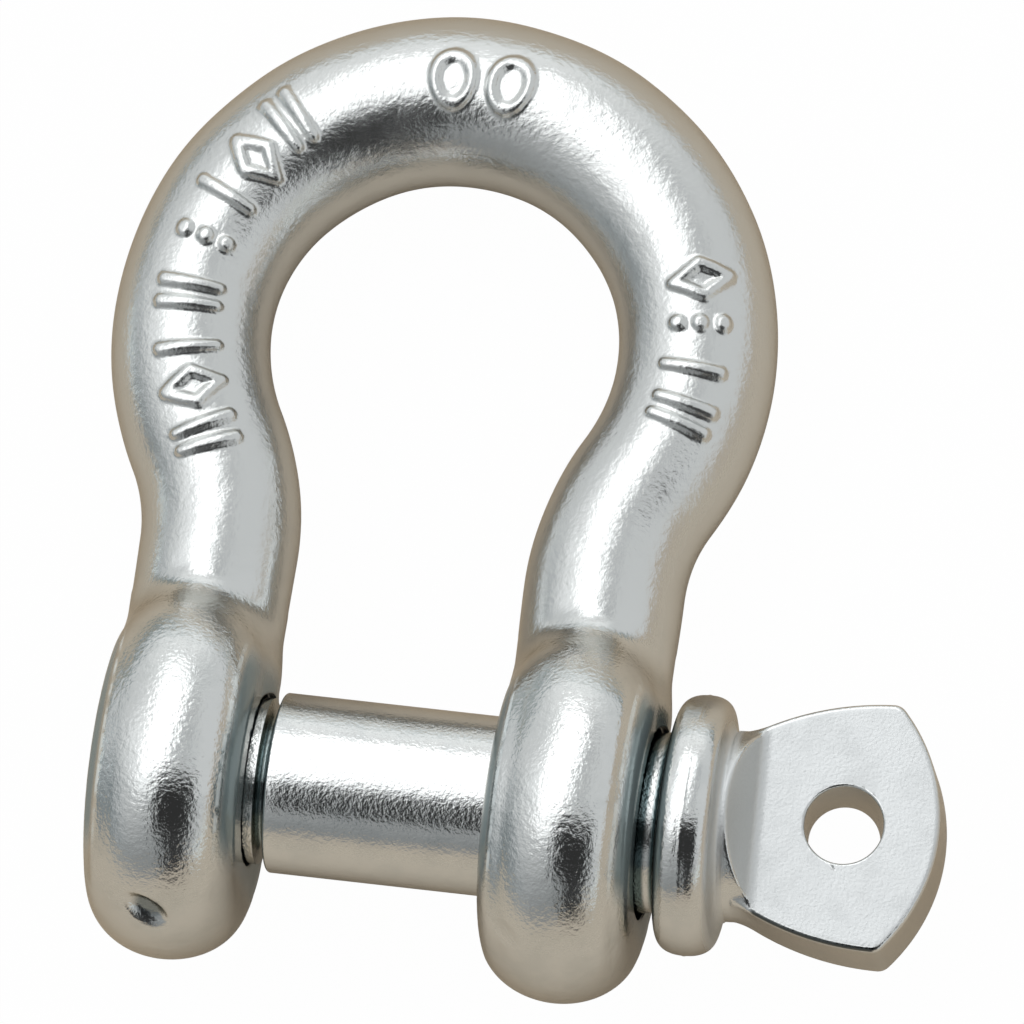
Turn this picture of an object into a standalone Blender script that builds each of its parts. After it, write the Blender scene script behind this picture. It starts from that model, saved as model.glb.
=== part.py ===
"""Forged screw-pin anchor shackle, lying flat as it comes to rest.

Run it with: blender --background --python part.py

It is two pieces: the bow, forged in one with its two ears, and the screw pin, forged in
one with its collar and eye plate. Both are modelled in the shackle's own frame, whose
origin lies on the pin's axis midway between the ears: X along the pin towards its eye
plate, Y from the pin towards the crown, and Z out of the bow's plane. An empty then lays
that frame down on the two ears and the crown.
"""

import math

import bmesh
import bpy

MM = 0.001

# Bow: round bar, thicker at the crown, bent to a horseshoe and drawn in at the waist
STOCK_D = 8.56 * MM
CROWN_D = 9.12 * MM
BOW_BEND_R = 13.67 * MM  # centreline of the round part
BOW_CENTRE_Y = 24.94 * MM  # pin's axis to the centre of the round part
WAIST_X = 10.47 * MM  # middle of the bow to the centreline of a leg, at the narrowest
WAIST_BEND_R = 12.0 * MM  # centreline of the reverse bend above each leg
LEG_ROOT_D = 8.46 * MM  # where a leg runs into its ear
LEG_ROOT_DEPTH = 3.0 * MM  # how far inside the ear's rim the leg has that diameter

# Ears: flat-faced discs with a fully rounded rim
JAW = 13.12 * MM  # between the ears' inner faces
EAR_THICKNESS = 8.12 * MM
EAR_D = 19.0 * MM
EAR_FLAT_D = 12.6 * MM  # outer edge of the flat on each face
EAR_DROP = 0.57 * MM  # the ear's centre lies this far beyond the pin's axis
BORE_CHAMFER = 0.35 * MM

# Screw pin: threaded end, relief groove, shank
PIN_D = 9.65 * MM
THREAD_D = 8.9 * MM  # crest of the thread, whose turns are left off this solid
TIP_CHAMFER = 0.8 * MM
TIP_PROUD = 0.1 * MM  # past the tapped ear's outer face
GROOVE_D = 8.1 * MM
GROOVE_WIDTH = 0.62 * MM
SHOULDER_ROUND = 0.4 * MM

# Screw pin's head: collar, neck and eye plate, measured from the collar's inner face
COLLAR_D = 14.4 * MM
COLLAR_THICKNESS = 2.55 * MM
COLLAR_RIM_WIDTH = 2.3 * MM  # the rounded part of the rim
COLLAR_RIM_DEPTH = 1.0 * MM
NECK_D = 10.5 * MM
NECK_FILLET = 0.65 * MM
HEAD_RISE = 0.2 * MM  # the head is forged this far off the shank's axis, crownwards
EYE_LEAN = math.radians(2.3)  # and the eye plate leans this much the same way
EYE_THICKNESS = 4.5 * MM
EYE_WIDTH = 13.62 * MM  # across the two corners
EYE_CORNER_X = 11.9 * MM
EYE_LENGTH = 14.6 * MM
EYE_FLARE_R = 15.4 * MM  # hollow sides, from the neck to the corners
EYE_EDGE_ROUND = 0.22 * MM
EYE_ROOT_DEPTH = 1.1 * MM  # how far the plate reaches into the neck behind the ramp's foot
EYE_HOLE_D = 4.3 * MM
EYE_HOLE_X = 9.45 * MM
RAMP_FOOT_X = 5.1 * MM  # the ramp from the round neck ends at the plate's face here
RAMP_ANGLE = math.radians(60)  # ramp against the pin's axis

# Clearances
BORE_CLEARANCE = 0.3 * MM  # radial, shank in the plain ear
THREAD_CLEARANCE = 0.3 * MM  # radial, thread crest in the tapped ear
COLLAR_GAP = 1.1 * MM  # the pin stands out this far from tight

# Facets
BAR_SIDES = 28
EAR_STEPS = 52
PIN_STEPS = 48
BOW_ARC_SEGMENTS = 22  # crown to the start of the reverse bend
WAIST_ARC_SEGMENTS = 8
LEG_SEGMENTS = 6
EYE_FLANK_SEGMENTS = 10
EYE_END_SEGMENTS = 16
EYE_EDGE_SEGMENTS = 2
ROUND_SEGMENTS = 7  # a quarter turn of a rounded rim
SHARPEST_CORNER = math.radians(35)  # an outline that turns more than this gets its corner rounded
MERGE = 0.01 * MM
PAST = 2.0 * MM  # how far a cutter runs past the face that it cuts

ear_x = (JAW + EAR_THICKNESS) / 2
ear_outer_x = JAW / 2 + EAR_THICKNESS
collar_x = ear_outer_x + COLLAR_GAP
shoulder_x = COLLAR_GAP - JAW / 2
crown_y = BOW_CENTRE_Y + BOW_BEND_R


def clear_scene():
    """Removes the objects that the file started with."""
    for obj in list(bpy.data.objects):
        bpy.data.objects.remove(obj, do_unlink=True)


def collection(name):
    """A new collection in the scene."""
    made = bpy.data.collections.new(name)
    bpy.context.scene.collection.children.link(made)
    return made


def plated_steel(name, color, roughness):
    """Bright zinc plating over forged steel."""
    material = bpy.data.materials.new(name)
    material.use_nodes = True
    shader = material.node_tree.nodes["Principled BSDF"]
    shader.inputs["Base Color"].default_value = (*color, 1.0)
    shader.inputs["Metallic"].default_value = 1.0
    shader.inputs["Roughness"].default_value = roughness
    return material


def add_object(name, data, group, parent, location=(0, 0, 0), rotation=(0, 0, 0)):
    """An object in a collection, placed in the shackle's own frame."""
    obj = bpy.data.objects.new(name, data)
    obj.location = location
    obj.rotation_euler = rotation
    obj.parent = parent
    group.objects.link(obj)
    return obj


def as_helper(obj):
    """Marks an object as one that only shapes another."""
    obj.hide_render = True
    obj.display_type = "WIRE"
    return obj


def turned(name, profile, steps, group, parent, place=(0.0, 0.0, 0.0)):
    """A shape turned about the X direction, from a profile of (x, radius) points.

    The profile runs from the highest x to the lowest.
    """
    points = [(radius, 0.0, x) for x, radius in profile]
    edges = [(i, i + 1) for i in range(len(points) - 1)]
    mesh = bpy.data.meshes.new(name)
    mesh.from_pydata(points, edges, [])
    along_pin = (0.0, math.radians(90), 0.0)
    obj = add_object(name, mesh, group, parent, place, along_pin)
    screw = obj.modifiers.new("turn", "SCREW")
    screw.axis = "Z"
    screw.steps = steps
    screw.render_steps = steps
    screw.use_merge_vertices = True
    screw.merge_threshold = MERGE
    screw.use_smooth_shade = True
    return obj


def boolean(obj, operation, other):
    """Joins another object to this one, or cuts it away."""
    modifier = obj.modifiers.new(operation.lower() + " " + other.name, "BOOLEAN")
    modifier.operation = operation
    modifier.object = other
    modifier.solver = "EXACT"


def mesh_of_curve(curve_object, group, parent):
    """Replaces a curve object by a mesh object with its caps welded."""
    bpy.context.view_layer.update()
    graph = bpy.context.evaluated_depsgraph_get()
    mesh = bpy.data.meshes.new_from_object(curve_object.evaluated_get(graph))
    welded = bmesh.new()
    welded.from_mesh(mesh)
    bmesh.ops.remove_doubles(welded, verts=welded.verts, dist=MERGE)
    bmesh.ops.recalc_face_normals(welded, faces=welded.faces)
    welded.to_mesh(mesh)
    welded.free()
    name = curve_object.name
    location = tuple(curve_object.location)
    rotation = tuple(curve_object.rotation_euler)
    bpy.data.objects.remove(curve_object, do_unlink=True)
    return add_object(name, mesh, group, parent, location, rotation)


def ease(share):
    """0 to 1 with a soft start and end."""
    share = min(max(share, 0.0), 1.0)
    return share * share * (3 - 2 * share)


def half_bow_path():
    """(x, y, radius) along the bar's centreline, from the crown to the right ear."""
    stock_r, crown_r = STOCK_D / 2, CROWN_D / 2
    bend_x = WAIST_X + WAIST_BEND_R
    drop = math.sqrt((BOW_BEND_R + WAIST_BEND_R) ** 2 - bend_x**2)
    bend_y = BOW_CENTRE_Y - drop
    meet = math.atan2(-drop, bend_x)
    path = []
    for i in range(BOW_ARC_SEGMENTS):
        angle = math.pi / 2 + (meet - math.pi / 2) * i / BOW_ARC_SEGMENTS
        height = max(math.sin(angle), 0.0)
        path.append(
            (
                BOW_BEND_R * math.cos(angle),
                BOW_CENTRE_Y + BOW_BEND_R * math.sin(angle),
                stock_r + (crown_r - stock_r) * height**2,
            )
        )
    # the reverse bend ends where its tangent runs to the ear's centre
    to_ear = math.atan2(-EAR_DROP - bend_y, ear_x - bend_x) % math.tau
    away = math.hypot(ear_x - bend_x, -EAR_DROP - bend_y)
    leave = to_ear - math.acos(WAIST_BEND_R / away)
    enter = meet + math.pi
    for i in range(WAIST_ARC_SEGMENTS):
        angle = enter + (leave - enter) * i / WAIST_ARC_SEGMENTS
        x = bend_x + WAIST_BEND_R * math.cos(angle)
        path.append((x, bend_y + WAIST_BEND_R * math.sin(angle), stock_r))
    top_x = bend_x + WAIST_BEND_R * math.cos(leave)
    top_y = bend_y + WAIST_BEND_R * math.sin(leave)
    root_y = EAR_D / 2 - EAR_DROP - LEG_ROOT_DEPTH
    for i in range(LEG_SEGMENTS + 1):
        share = i / LEG_SEGMENTS
        y = top_y + (root_y - top_y) * share
        x = top_x + (ear_x - top_x) * (y - top_y) / (-EAR_DROP - top_y)
        path.append((x, y, stock_r + (LEG_ROOT_D / 2 - stock_r) * ease(share)))
    path.append((ear_x, -EAR_DROP, LEG_ROOT_D / 2))
    return path


def bar_curve(group, parent):
    """The bent bar, ear centre to ear centre."""
    half = half_bow_path()
    left = [(-x, y, radius) for x, y, radius in reversed(half[1:])]
    path = left + half
    curve = bpy.data.curves.new("bow", "CURVE")
    curve.dimensions = "3D"
    curve.bevel_depth = 1.0
    curve.bevel_resolution = (BAR_SIDES - 4) // 2
    curve.use_fill_caps = True
    spline = curve.splines.new("POLY")
    spline.points.add(len(path) - 1)
    for point, (x, y, radius) in zip(spline.points, path):
        point.co = (x, y, 0.0, 1.0)
        point.radius = radius
    return add_object("bow", curve, group, parent)


def ear(name, x, group, parent):
    """A disc with two flat faces and a fully rounded rim."""
    half, flat_r, rim_r = EAR_THICKNESS / 2, EAR_FLAT_D / 2, EAR_D / 2
    profile = [(x + half, 0.0)]
    for cosine, sine in half_round():
        profile.append((x + half * cosine, flat_r + (rim_r - flat_r) * sine))
    profile.append((x - half, 0.0))
    centre = (0.0, -EAR_DROP, 0.0)
    return as_helper(turned(name, profile, EAR_STEPS, group, parent, centre))


def bore_cutter(name, x, radius, group, parent):
    """A hole through an ear, with both its edges broken."""
    half = EAR_THICKNESS / 2
    far = radius + BORE_CHAMFER + PAST
    profile = [
        (x + half + PAST, 0.0),
        (x + half + PAST, far),
        (x + half - BORE_CHAMFER, radius),
        (x - half + BORE_CHAMFER, radius),
        (x - half - PAST, far),
        (x - half - PAST, 0.0),
    ]
    return as_helper(turned(name, profile, PIN_STEPS, group, parent))


def make_bow(group, helpers, parent):
    """The bent bar with an ear on each end, bored for the pin."""
    bow = mesh_of_curve(bar_curve(group, parent), group, parent)
    bow.data.materials.append(plated_steel("plated_bow", (0.70, 0.71, 0.72), 0.28))
    boolean(bow, "UNION", ear("ear_plain", ear_x, helpers, parent))
    boolean(bow, "UNION", ear("ear_tapped", -ear_x, helpers, parent))
    plain_r = PIN_D / 2 + BORE_CLEARANCE
    tapped_r = THREAD_D / 2 + THREAD_CLEARANCE
    boolean(bow, "DIFFERENCE", bore_cutter("plain_bore", ear_x, plain_r, helpers, parent))
    boolean(bow, "DIFFERENCE", bore_cutter("tapped_bore", -ear_x, tapped_r, helpers, parent))
    return bow


def quarter_round():
    """(cosine, sine) pairs over a quarter turn."""
    turns = (math.pi / 2 * i / ROUND_SEGMENTS for i in range(ROUND_SEGMENTS + 1))
    return [(math.cos(turn), math.sin(turn)) for turn in turns]


def half_round():
    """(cosine, sine) pairs over a half turn."""
    turns = (math.pi / 2 * i / ROUND_SEGMENTS for i in range(2 * ROUND_SEGMENTS + 1))
    return [(math.cos(turn), math.sin(turn)) for turn in turns]


def shank_profile():
    """(x, radius) points of the shank, from inside the collar to the threaded tip."""
    pin_r, thread_r, groove_r = PIN_D / 2, THREAD_D / 2, GROOVE_D / 2
    inside_x = collar_x + COLLAR_THICKNESS / 2
    profile = [(inside_x, 0.0), (inside_x, pin_r)]
    for cosine, sine in quarter_round():
        x = shoulder_x + SHOULDER_ROUND * (1 - sine)
        profile.append((x, pin_r - SHOULDER_ROUND * (1 - cosine)))
    tip_x = -ear_outer_x - TIP_PROUD
    profile += [
        (shoulder_x, groove_r),
        (shoulder_x - GROOVE_WIDTH, groove_r),
        (shoulder_x - GROOVE_WIDTH - (thread_r - groove_r), thread_r),
        (tip_x + TIP_CHAMFER, thread_r),
        (tip_x, thread_r - TIP_CHAMFER),
        (tip_x, 0.0),
    ]
    return profile


def head_profile():
    """(x, radius) points of the neck and collar, from inside the eye plate inwards."""
    neck_r, rim_base_r = NECK_D / 2, COLLAR_D / 2 - COLLAR_RIM_DEPTH
    end_x = RAMP_FOOT_X + NECK_FILLET / 2
    profile = [(end_x, 0.0), (end_x, neck_r)]
    for cosine, sine in quarter_round():
        x = COLLAR_THICKNESS + NECK_FILLET * (1 - sine)
        profile.append((x, neck_r + NECK_FILLET * (1 - cosine)))
    for cosine, sine in half_round():
        x = COLLAR_RIM_WIDTH / 2 * (1 + cosine)
        profile.append((x, rim_base_r + COLLAR_RIM_DEPTH * sine))
    profile.append((0.0, 0.0))
    return profile


def eye_outline():
    """(x, y) points of the eye plate: two hollow flanks and a blunt rounded end."""
    half_width = EYE_WIDTH / 2
    corner_x, tip_x = EYE_CORNER_X, EYE_LENGTH
    root_x = RAMP_FOOT_X - EYE_ROOT_DEPTH
    flank = []
    for i in range(EYE_FLANK_SEGMENTS + 1):
        x = root_x + (corner_x - root_x) * i / EYE_FLANK_SEGMENTS
        rise = EYE_FLARE_R - math.sqrt(EYE_FLARE_R**2 - (corner_x - x) ** 2)
        flank.append((x, half_width - rise))
    bulge = tip_x - corner_x
    end_r = (half_width**2 + bulge**2) / (2 * bulge)
    spread = math.asin(half_width / end_r)
    end = []
    for i in range(1, EYE_END_SEGMENTS):
        angle = spread * (1 - 2 * i / EYE_END_SEGMENTS)
        end.append((tip_x - end_r * (1 - math.cos(angle)), end_r * math.sin(angle)))
    return flank + end + [(x, -y) for x, y in reversed(flank)]


def eye_plate(helpers, parent):
    """The flat of the head, with its edges rounded."""
    curve = bpy.data.curves.new("eye_plate", "CURVE")
    curve.dimensions = "2D"
    curve.fill_mode = "BOTH"
    curve.extrude = EYE_THICKNESS / 2
    outline = eye_outline()
    spline = curve.splines.new("POLY")
    spline.points.add(len(outline) - 1)
    for point, (x, y) in zip(spline.points, outline):
        point.co = (x, y, 0.0, 1.0)
    spline.use_cyclic_u = True
    drawn = add_object("eye_plate", curve, helpers, parent)
    plate = as_helper(mesh_of_curve(drawn, helpers, parent))
    rounding = plate.modifiers.new("rounded edges", "BEVEL")
    rounding.width = EYE_EDGE_ROUND
    rounding.segments = EYE_EDGE_SEGMENTS
    rounding.limit_method = "ANGLE"
    rounding.angle_limit = SHARPEST_CORNER
    return plate


def ramp_cutter(name, side, helpers, parent):
    """A block whose face is the ramp from the round neck down to the eye plate's face."""
    width = 2 * NECK_D
    reach = (NECK_D - EYE_THICKNESS) / 2 / math.sin(RAMP_ANGLE) + NECK_FILLET / 2
    mesh = bpy.data.meshes.new(name)
    block = bmesh.new()
    bmesh.ops.create_cube(block, size=1.0)
    bmesh.ops.scale(block, vec=(width, width, width), verts=block.verts)
    # seen along the ramp, the block ends just above the neck and clears the collar
    bmesh.ops.translate(block, vec=(width / 2 - reach, 0.0, width / 2), verts=block.verts)
    block.to_mesh(mesh)
    block.free()
    foot = (RAMP_FOOT_X, 0.0, side * EYE_THICKNESS / 2)
    obj = add_object(name, mesh, helpers, parent, foot)
    if side > 0:
        obj.rotation_euler = (0.0, RAMP_ANGLE, 0.0)
    else:
        obj.rotation_euler = (math.radians(180), -RAMP_ANGLE, 0.0)
    return as_helper(obj)


def eye_hole_cutter(helpers, parent):
    """A cylinder through the eye plate."""
    mesh = bpy.data.meshes.new("eye_hole")
    cylinder = bmesh.new()
    bmesh.ops.create_cone(
        cylinder,
        cap_ends=True,
        segments=PIN_STEPS,
        radius1=EYE_HOLE_D / 2,
        radius2=EYE_HOLE_D / 2,
        depth=EYE_THICKNESS + 2 * PAST,
    )
    cylinder.to_mesh(mesh)
    cylinder.free()
    place = (EYE_HOLE_X, 0.0, 0.0)
    return as_helper(add_object("eye_hole", mesh, helpers, parent, place))


def make_screw_pin(group, helpers, parent):
    """Shank, collar, neck and eye plate in one."""
    pin = turned("screw_pin", shank_profile(), PIN_STEPS, group, parent)
    pin.data.materials.append(plated_steel("plated_pin", (0.72, 0.73, 0.74), 0.22))
    place = (collar_x, HEAD_RISE, 0.0)
    head = as_helper(turned("pin_head", head_profile(), PIN_STEPS, helpers, parent, place))
    eye = add_object("eye_frame", None, helpers, parent, place, (0.0, 0.0, EYE_LEAN))
    boolean(head, "DIFFERENCE", ramp_cutter("ramp_front", 1, helpers, eye))
    boolean(head, "DIFFERENCE", ramp_cutter("ramp_back", -1, helpers, eye))
    boolean(pin, "UNION", head)
    boolean(pin, "UNION", eye_plate(helpers, eye))
    boolean(pin, "DIFFERENCE", eye_hole_cutter(helpers, eye))
    return pin


def resting_frame(group):
    """An empty that lays the shackle's own frame down on its ears and crown."""
    ear_r, crown_r = EAR_D / 2, CROWN_D / 2
    tilt = math.asin((ear_r - crown_r) / (crown_y + EAR_DROP))
    pin_z = ear_r - EAR_DROP * math.sin(tilt)
    top_y = crown_y * math.cos(tilt) + crown_r
    ear_end_y = -EAR_DROP * math.cos(tilt) - ear_r
    bow_side_x = BOW_BEND_R + STOCK_D / 2
    eye_tip_x = collar_x + EYE_LENGTH
    frame = bpy.data.objects.new("resting_frame", None)
    frame.empty_display_size = EAR_D
    frame.location = ((bow_side_x - eye_tip_x) / 2, -(top_y + ear_end_y) / 2, pin_z)
    frame.rotation_euler = (-tilt, 0.0, 0.0)
    group.objects.link(frame)
    return frame


def main():
    clear_scene()
    parts = collection("anchor_shackle")
    helpers = collection("cutters")
    frame = resting_frame(parts)
    make_bow(parts, helpers, frame)
    make_screw_pin(parts, helpers, frame)


if __name__ == "__main__":
    main()
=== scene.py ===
"""A forged screw pin anchor shackle, finished for a product photograph.

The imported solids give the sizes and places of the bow, with its two ears, and of the
screw pin, with its collar and eye plate. Each is rebuilt here in the same place as one
fine mesh, with what the solids leave out: raised forge marks, dents, threads, fillets
and slightly uneven forged skin. Both are dressed in zinc plating.

The shackle's own frame has its origin on the pin's axis midway between the ears, X along
the pin towards the eye plate, Y towards the crown and Z out of the bow's plane. The
shackle lies on its ears and crown, so that frame is tipped a little.
"""

import logging
import math
from collections.abc import Callable
from dataclasses import dataclass
from enum import Enum
from typing import NamedTuple

import bmesh
import bpy
import numpy as np
from mathutils import Matrix, Vector


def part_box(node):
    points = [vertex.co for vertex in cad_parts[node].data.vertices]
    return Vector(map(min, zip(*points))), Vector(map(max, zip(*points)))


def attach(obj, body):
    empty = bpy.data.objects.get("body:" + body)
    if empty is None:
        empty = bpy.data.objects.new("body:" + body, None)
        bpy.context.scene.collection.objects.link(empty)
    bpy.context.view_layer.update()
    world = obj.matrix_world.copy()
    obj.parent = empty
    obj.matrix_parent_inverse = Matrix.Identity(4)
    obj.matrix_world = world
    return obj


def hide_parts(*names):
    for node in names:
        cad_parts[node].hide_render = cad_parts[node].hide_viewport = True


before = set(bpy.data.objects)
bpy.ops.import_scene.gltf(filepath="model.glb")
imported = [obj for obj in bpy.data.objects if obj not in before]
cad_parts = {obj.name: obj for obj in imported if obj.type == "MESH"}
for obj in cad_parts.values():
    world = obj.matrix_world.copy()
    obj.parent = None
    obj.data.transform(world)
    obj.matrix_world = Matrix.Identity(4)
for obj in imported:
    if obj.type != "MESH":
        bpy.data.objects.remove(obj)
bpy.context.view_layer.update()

MM = 0.001
NEAR_NOTHING = 0.001 * MM

log = logging.getLogger("shackle")


def smooth_step(share: np.ndarray) -> np.ndarray:
    """Eases 0 to 1.

    Args:
        share: values, of which those outside 0 to 1 are held at the ends.

    Returns:
        The eased values.
    """
    share = np.clip(share, 0.0, 1.0)
    return share * share * (3 - 2 * share)


def within(
    values: np.ndarray, limits: tuple[float, float], fades: tuple[float, float]
) -> np.ndarray:
    """Eases from 0 at one limit to 1, and back to 0 at the other.

    Args:
        values: what to place between the limits.
        limits: the low one and the high one.
        fades: how far from each it is until 1 is reached.

    Returns:
        The eased values.
    """
    rise = smooth_step((values - limits[0]) / fades[0])
    return rise * smooth_step((limits[1] - values) / fades[1])


def smooth_union(first: np.ndarray, second: np.ndarray, blend: "np.ndarray | float") -> np.ndarray:
    """Joins two signed distances with a fillet.

    Args:
        first: distance to one form, negative inside it.
        second: distance to the other form.
        blend: over what difference the two run together, in metres.

    Returns:
        The signed distance to both.
    """
    share = np.clip(0.5 + 0.5 * (second - first) / blend, 0.0, 1.0)
    return second + (first - second) * share - blend * share * (1 - share)


def uneven(points: np.ndarray, wavelength: float, seed: int) -> np.ndarray:
    """A gentle random height over space, the same on each run.

    Args:
        points: places, as an array whose last axis holds x, y and z.
        wavelength: the usual length of a swell, in metres.
        seed: which pattern.

    Returns:
        Heights of about -1 to 1, one for each place.
    """
    random = np.random.default_rng(seed)
    total = np.zeros(points.shape[:-1])
    waves = 9
    for _ in range(waves):
        direction = random.normal(size=3)
        direction *= math.tau / (wavelength * random.uniform(0.7, 1.5) * np.linalg.norm(direction))
        total += np.sin(points @ direction + random.uniform(0, math.tau))
    return total / math.sqrt(waves)


def to_segment(a: np.ndarray, b: np.ndarray, start: tuple, end: tuple) -> np.ndarray:
    """Distances to a straight stroke.

    Args:
        a: first coordinates.
        b: second coordinates.
        start: the stroke's one end, (a, b).
        end: its other end.

    Returns:
        The distance from each place to the stroke's line.
    """
    run_a, run_b = end[0] - start[0], end[1] - start[1]
    share = ((a - start[0]) * run_a + (b - start[1]) * run_b) / (run_a**2 + run_b**2)
    share = np.clip(share, 0.0, 1.0)
    return np.hypot(a - start[0] - share * run_a, b - start[1] - share * run_b)


def skin_mesh(name: str, rings: np.ndarray) -> bpy.types.Mesh:
    """A closed mesh through a row of rings, with a fan at each end.

    Args:
        name: the mesh's name.
        rings: places, (ring, point on the ring, xyz).

    Returns:
        The mesh, shaded smooth, with its faces pointing out.
    """
    count, sides = rings.shape[:2]
    grid = np.arange(count * sides).reshape(count, sides)
    beside = np.roll(grid, -1, axis=1)
    quads = np.stack([grid[:-1], beside[:-1], beside[1:], grid[1:]], axis=-1).reshape(-1, 4)
    first, last = count * sides, count * sides + 1
    fans = [(first, int(q), int(p)) for p, q in zip(grid[0], beside[0])]
    fans += [(last, int(p), int(q)) for p, q in zip(grid[-1], beside[-1])]
    ends = np.stack([rings[0].mean(axis=0), rings[-1].mean(axis=0)])
    points = np.concatenate([rings.reshape(-1, 3), ends])
    mesh = bpy.data.meshes.new(name)
    mesh.from_pydata(points.tolist(), [], quads.tolist() + fans)
    shape = bmesh.new()
    shape.from_mesh(mesh)
    if shape.calc_volume(signed=True) < 0:
        bmesh.ops.reverse_faces(shape, faces=shape.faces)
    shape.to_mesh(mesh)
    shape.free()
    mesh.shade_smooth()
    return mesh


def turned_rings(along: np.ndarray, radii: np.ndarray, turns: np.ndarray) -> np.ndarray:
    """Rings about the X axis.

    Args:
        along: each ring's x.
        radii: radius at each (ring, turn), or (ring, 1).
        turns: angles round the axis.

    Returns:
        Places, (ring, turn, xyz).
    """
    radii = np.broadcast_to(radii, (len(along), len(turns)))
    x = np.broadcast_to(along[:, None], radii.shape)
    return np.stack([x, radii * np.cos(turns), radii * np.sin(turns)], axis=-1)


def skin_reach(
    distance: Callable[[np.ndarray], np.ndarray], shape: tuple[int, int], far: float, halvings: int
) -> np.ndarray:
    """Searches by halving for how far away the skin is.

    Args:
        distance: gives the signed distance to the skin at each reach, negative inside.
        shape: how many rings and turns there are.
        far: a reach that is outside everywhere.
        halvings: how many steps the search takes.

    Returns:
        The reach at each (ring, turn).
    """
    low, high = np.zeros(shape), np.full(shape, far)
    for _ in range(halvings):
        middle = (low + high) / 2
        inside = distance(middle) < 0
        low, high = np.where(inside, middle, low), np.where(inside, high, middle)
    return (low + high) / 2


def shape_object(name: str, mesh: bpy.types.Mesh) -> bpy.types.Object:
    """An object that holds a mesh, linked to the scene.

    Args:
        name: the object's name.
        mesh: what it holds.

    Returns:
        The object.
    """
    obj = bpy.data.objects.new(name, mesh)
    bpy.context.scene.collection.objects.link(obj)
    return obj


def cut(name: str, base: bpy.types.Mesh, cutters: list[bpy.types.Mesh]) -> bpy.types.Mesh:
    """Cuts other solids from a solid, in order.

    Args:
        name: the new mesh's name.
        base: the solid to start from.
        cutters: what to cut from it.

    Returns:
        The result as one mesh.
    """
    body = shape_object(name, base)
    helpers = []
    for number, mesh in enumerate(cutters):
        helper = shape_object(f"{name}_cutter_{number}", mesh)
        modifier = body.modifiers.new(helper.name, "BOOLEAN")
        modifier.operation = "DIFFERENCE"
        modifier.object = helper
        modifier.solver = "EXACT"
        helpers.append(helper)
    bpy.context.view_layer.update()
    graph = bpy.context.evaluated_depsgraph_get()
    result = bpy.data.meshes.new_from_object(body.evaluated_get(graph))
    result.name = name
    for obj in [body, *helpers]:
        bpy.data.objects.remove(obj, do_unlink=True)
    return result


class Socket:
    """A shader value that takes part in Python sums."""

    def __init__(self, shader: "Shader", socket: bpy.types.NodeSocket) -> None:
        """Keeps the output socket and the shader that it is in."""
        self.shader = shader
        self.socket = socket

    def maths(self, operation: str, *values: "Socket | float") -> "Socket":
        """One Math node.

        Args:
            operation: the node's operation.
            values: its inputs, in order.

        Returns:
            Its result.
        """
        settings = {"operation": operation}
        return self.shader.output("ShaderNodeMath", settings, dict(enumerate(values)))

    def __add__(self, other: "Socket | float") -> "Socket":
        """self + other."""
        return self.maths("ADD", self, other)

    def __radd__(self, other: float) -> "Socket":
        """other + self."""
        return self.maths("ADD", other, self)

    def __sub__(self, other: "Socket | float") -> "Socket":
        """self - other."""
        return self.maths("SUBTRACT", self, other)

    def __rsub__(self, other: float) -> "Socket":
        """other - self."""
        return self.maths("SUBTRACT", other, self)

    def __mul__(self, other: "Socket | float") -> "Socket":
        """self * other."""
        return self.maths("MULTIPLY", self, other)

    def __truediv__(self, other: "Socket | float") -> "Socket":
        """self / other."""
        return self.maths("DIVIDE", self, other)

    def __abs__(self) -> "Socket":
        """The size of self without its sign."""
        return self.maths("ABSOLUTE", self)

    def angle(self) -> "Socket":
        """The angle whose cosine is self."""
        return self.maths("ARCCOSINE", self)

    def step(self, low: float, high: float) -> "Socket":
        """0 at low and 1 at high, eased between; low may be the larger.

        Args:
            low: where the result is 0.
            high: where the result is 1.

        Returns:
            The eased share.
        """
        settings = {"interpolation_type": "SMOOTHSTEP"}
        values = {"Value": self, "From Min": low, "From Max": high}
        return self.shader.output("ShaderNodeMapRange", settings, values)

    def above(self, limit: float, soft: float) -> "Socket":
        """1 above a limit and 0 below it, eased over a soft width on each side."""
        return self.step(limit - soft, limit + soft)

    def below(self, limit: float, soft: float) -> "Socket":
        """1 below a limit and 0 above it, eased over a soft width on each side."""
        return self.step(limit + soft, limit - soft)


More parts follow.
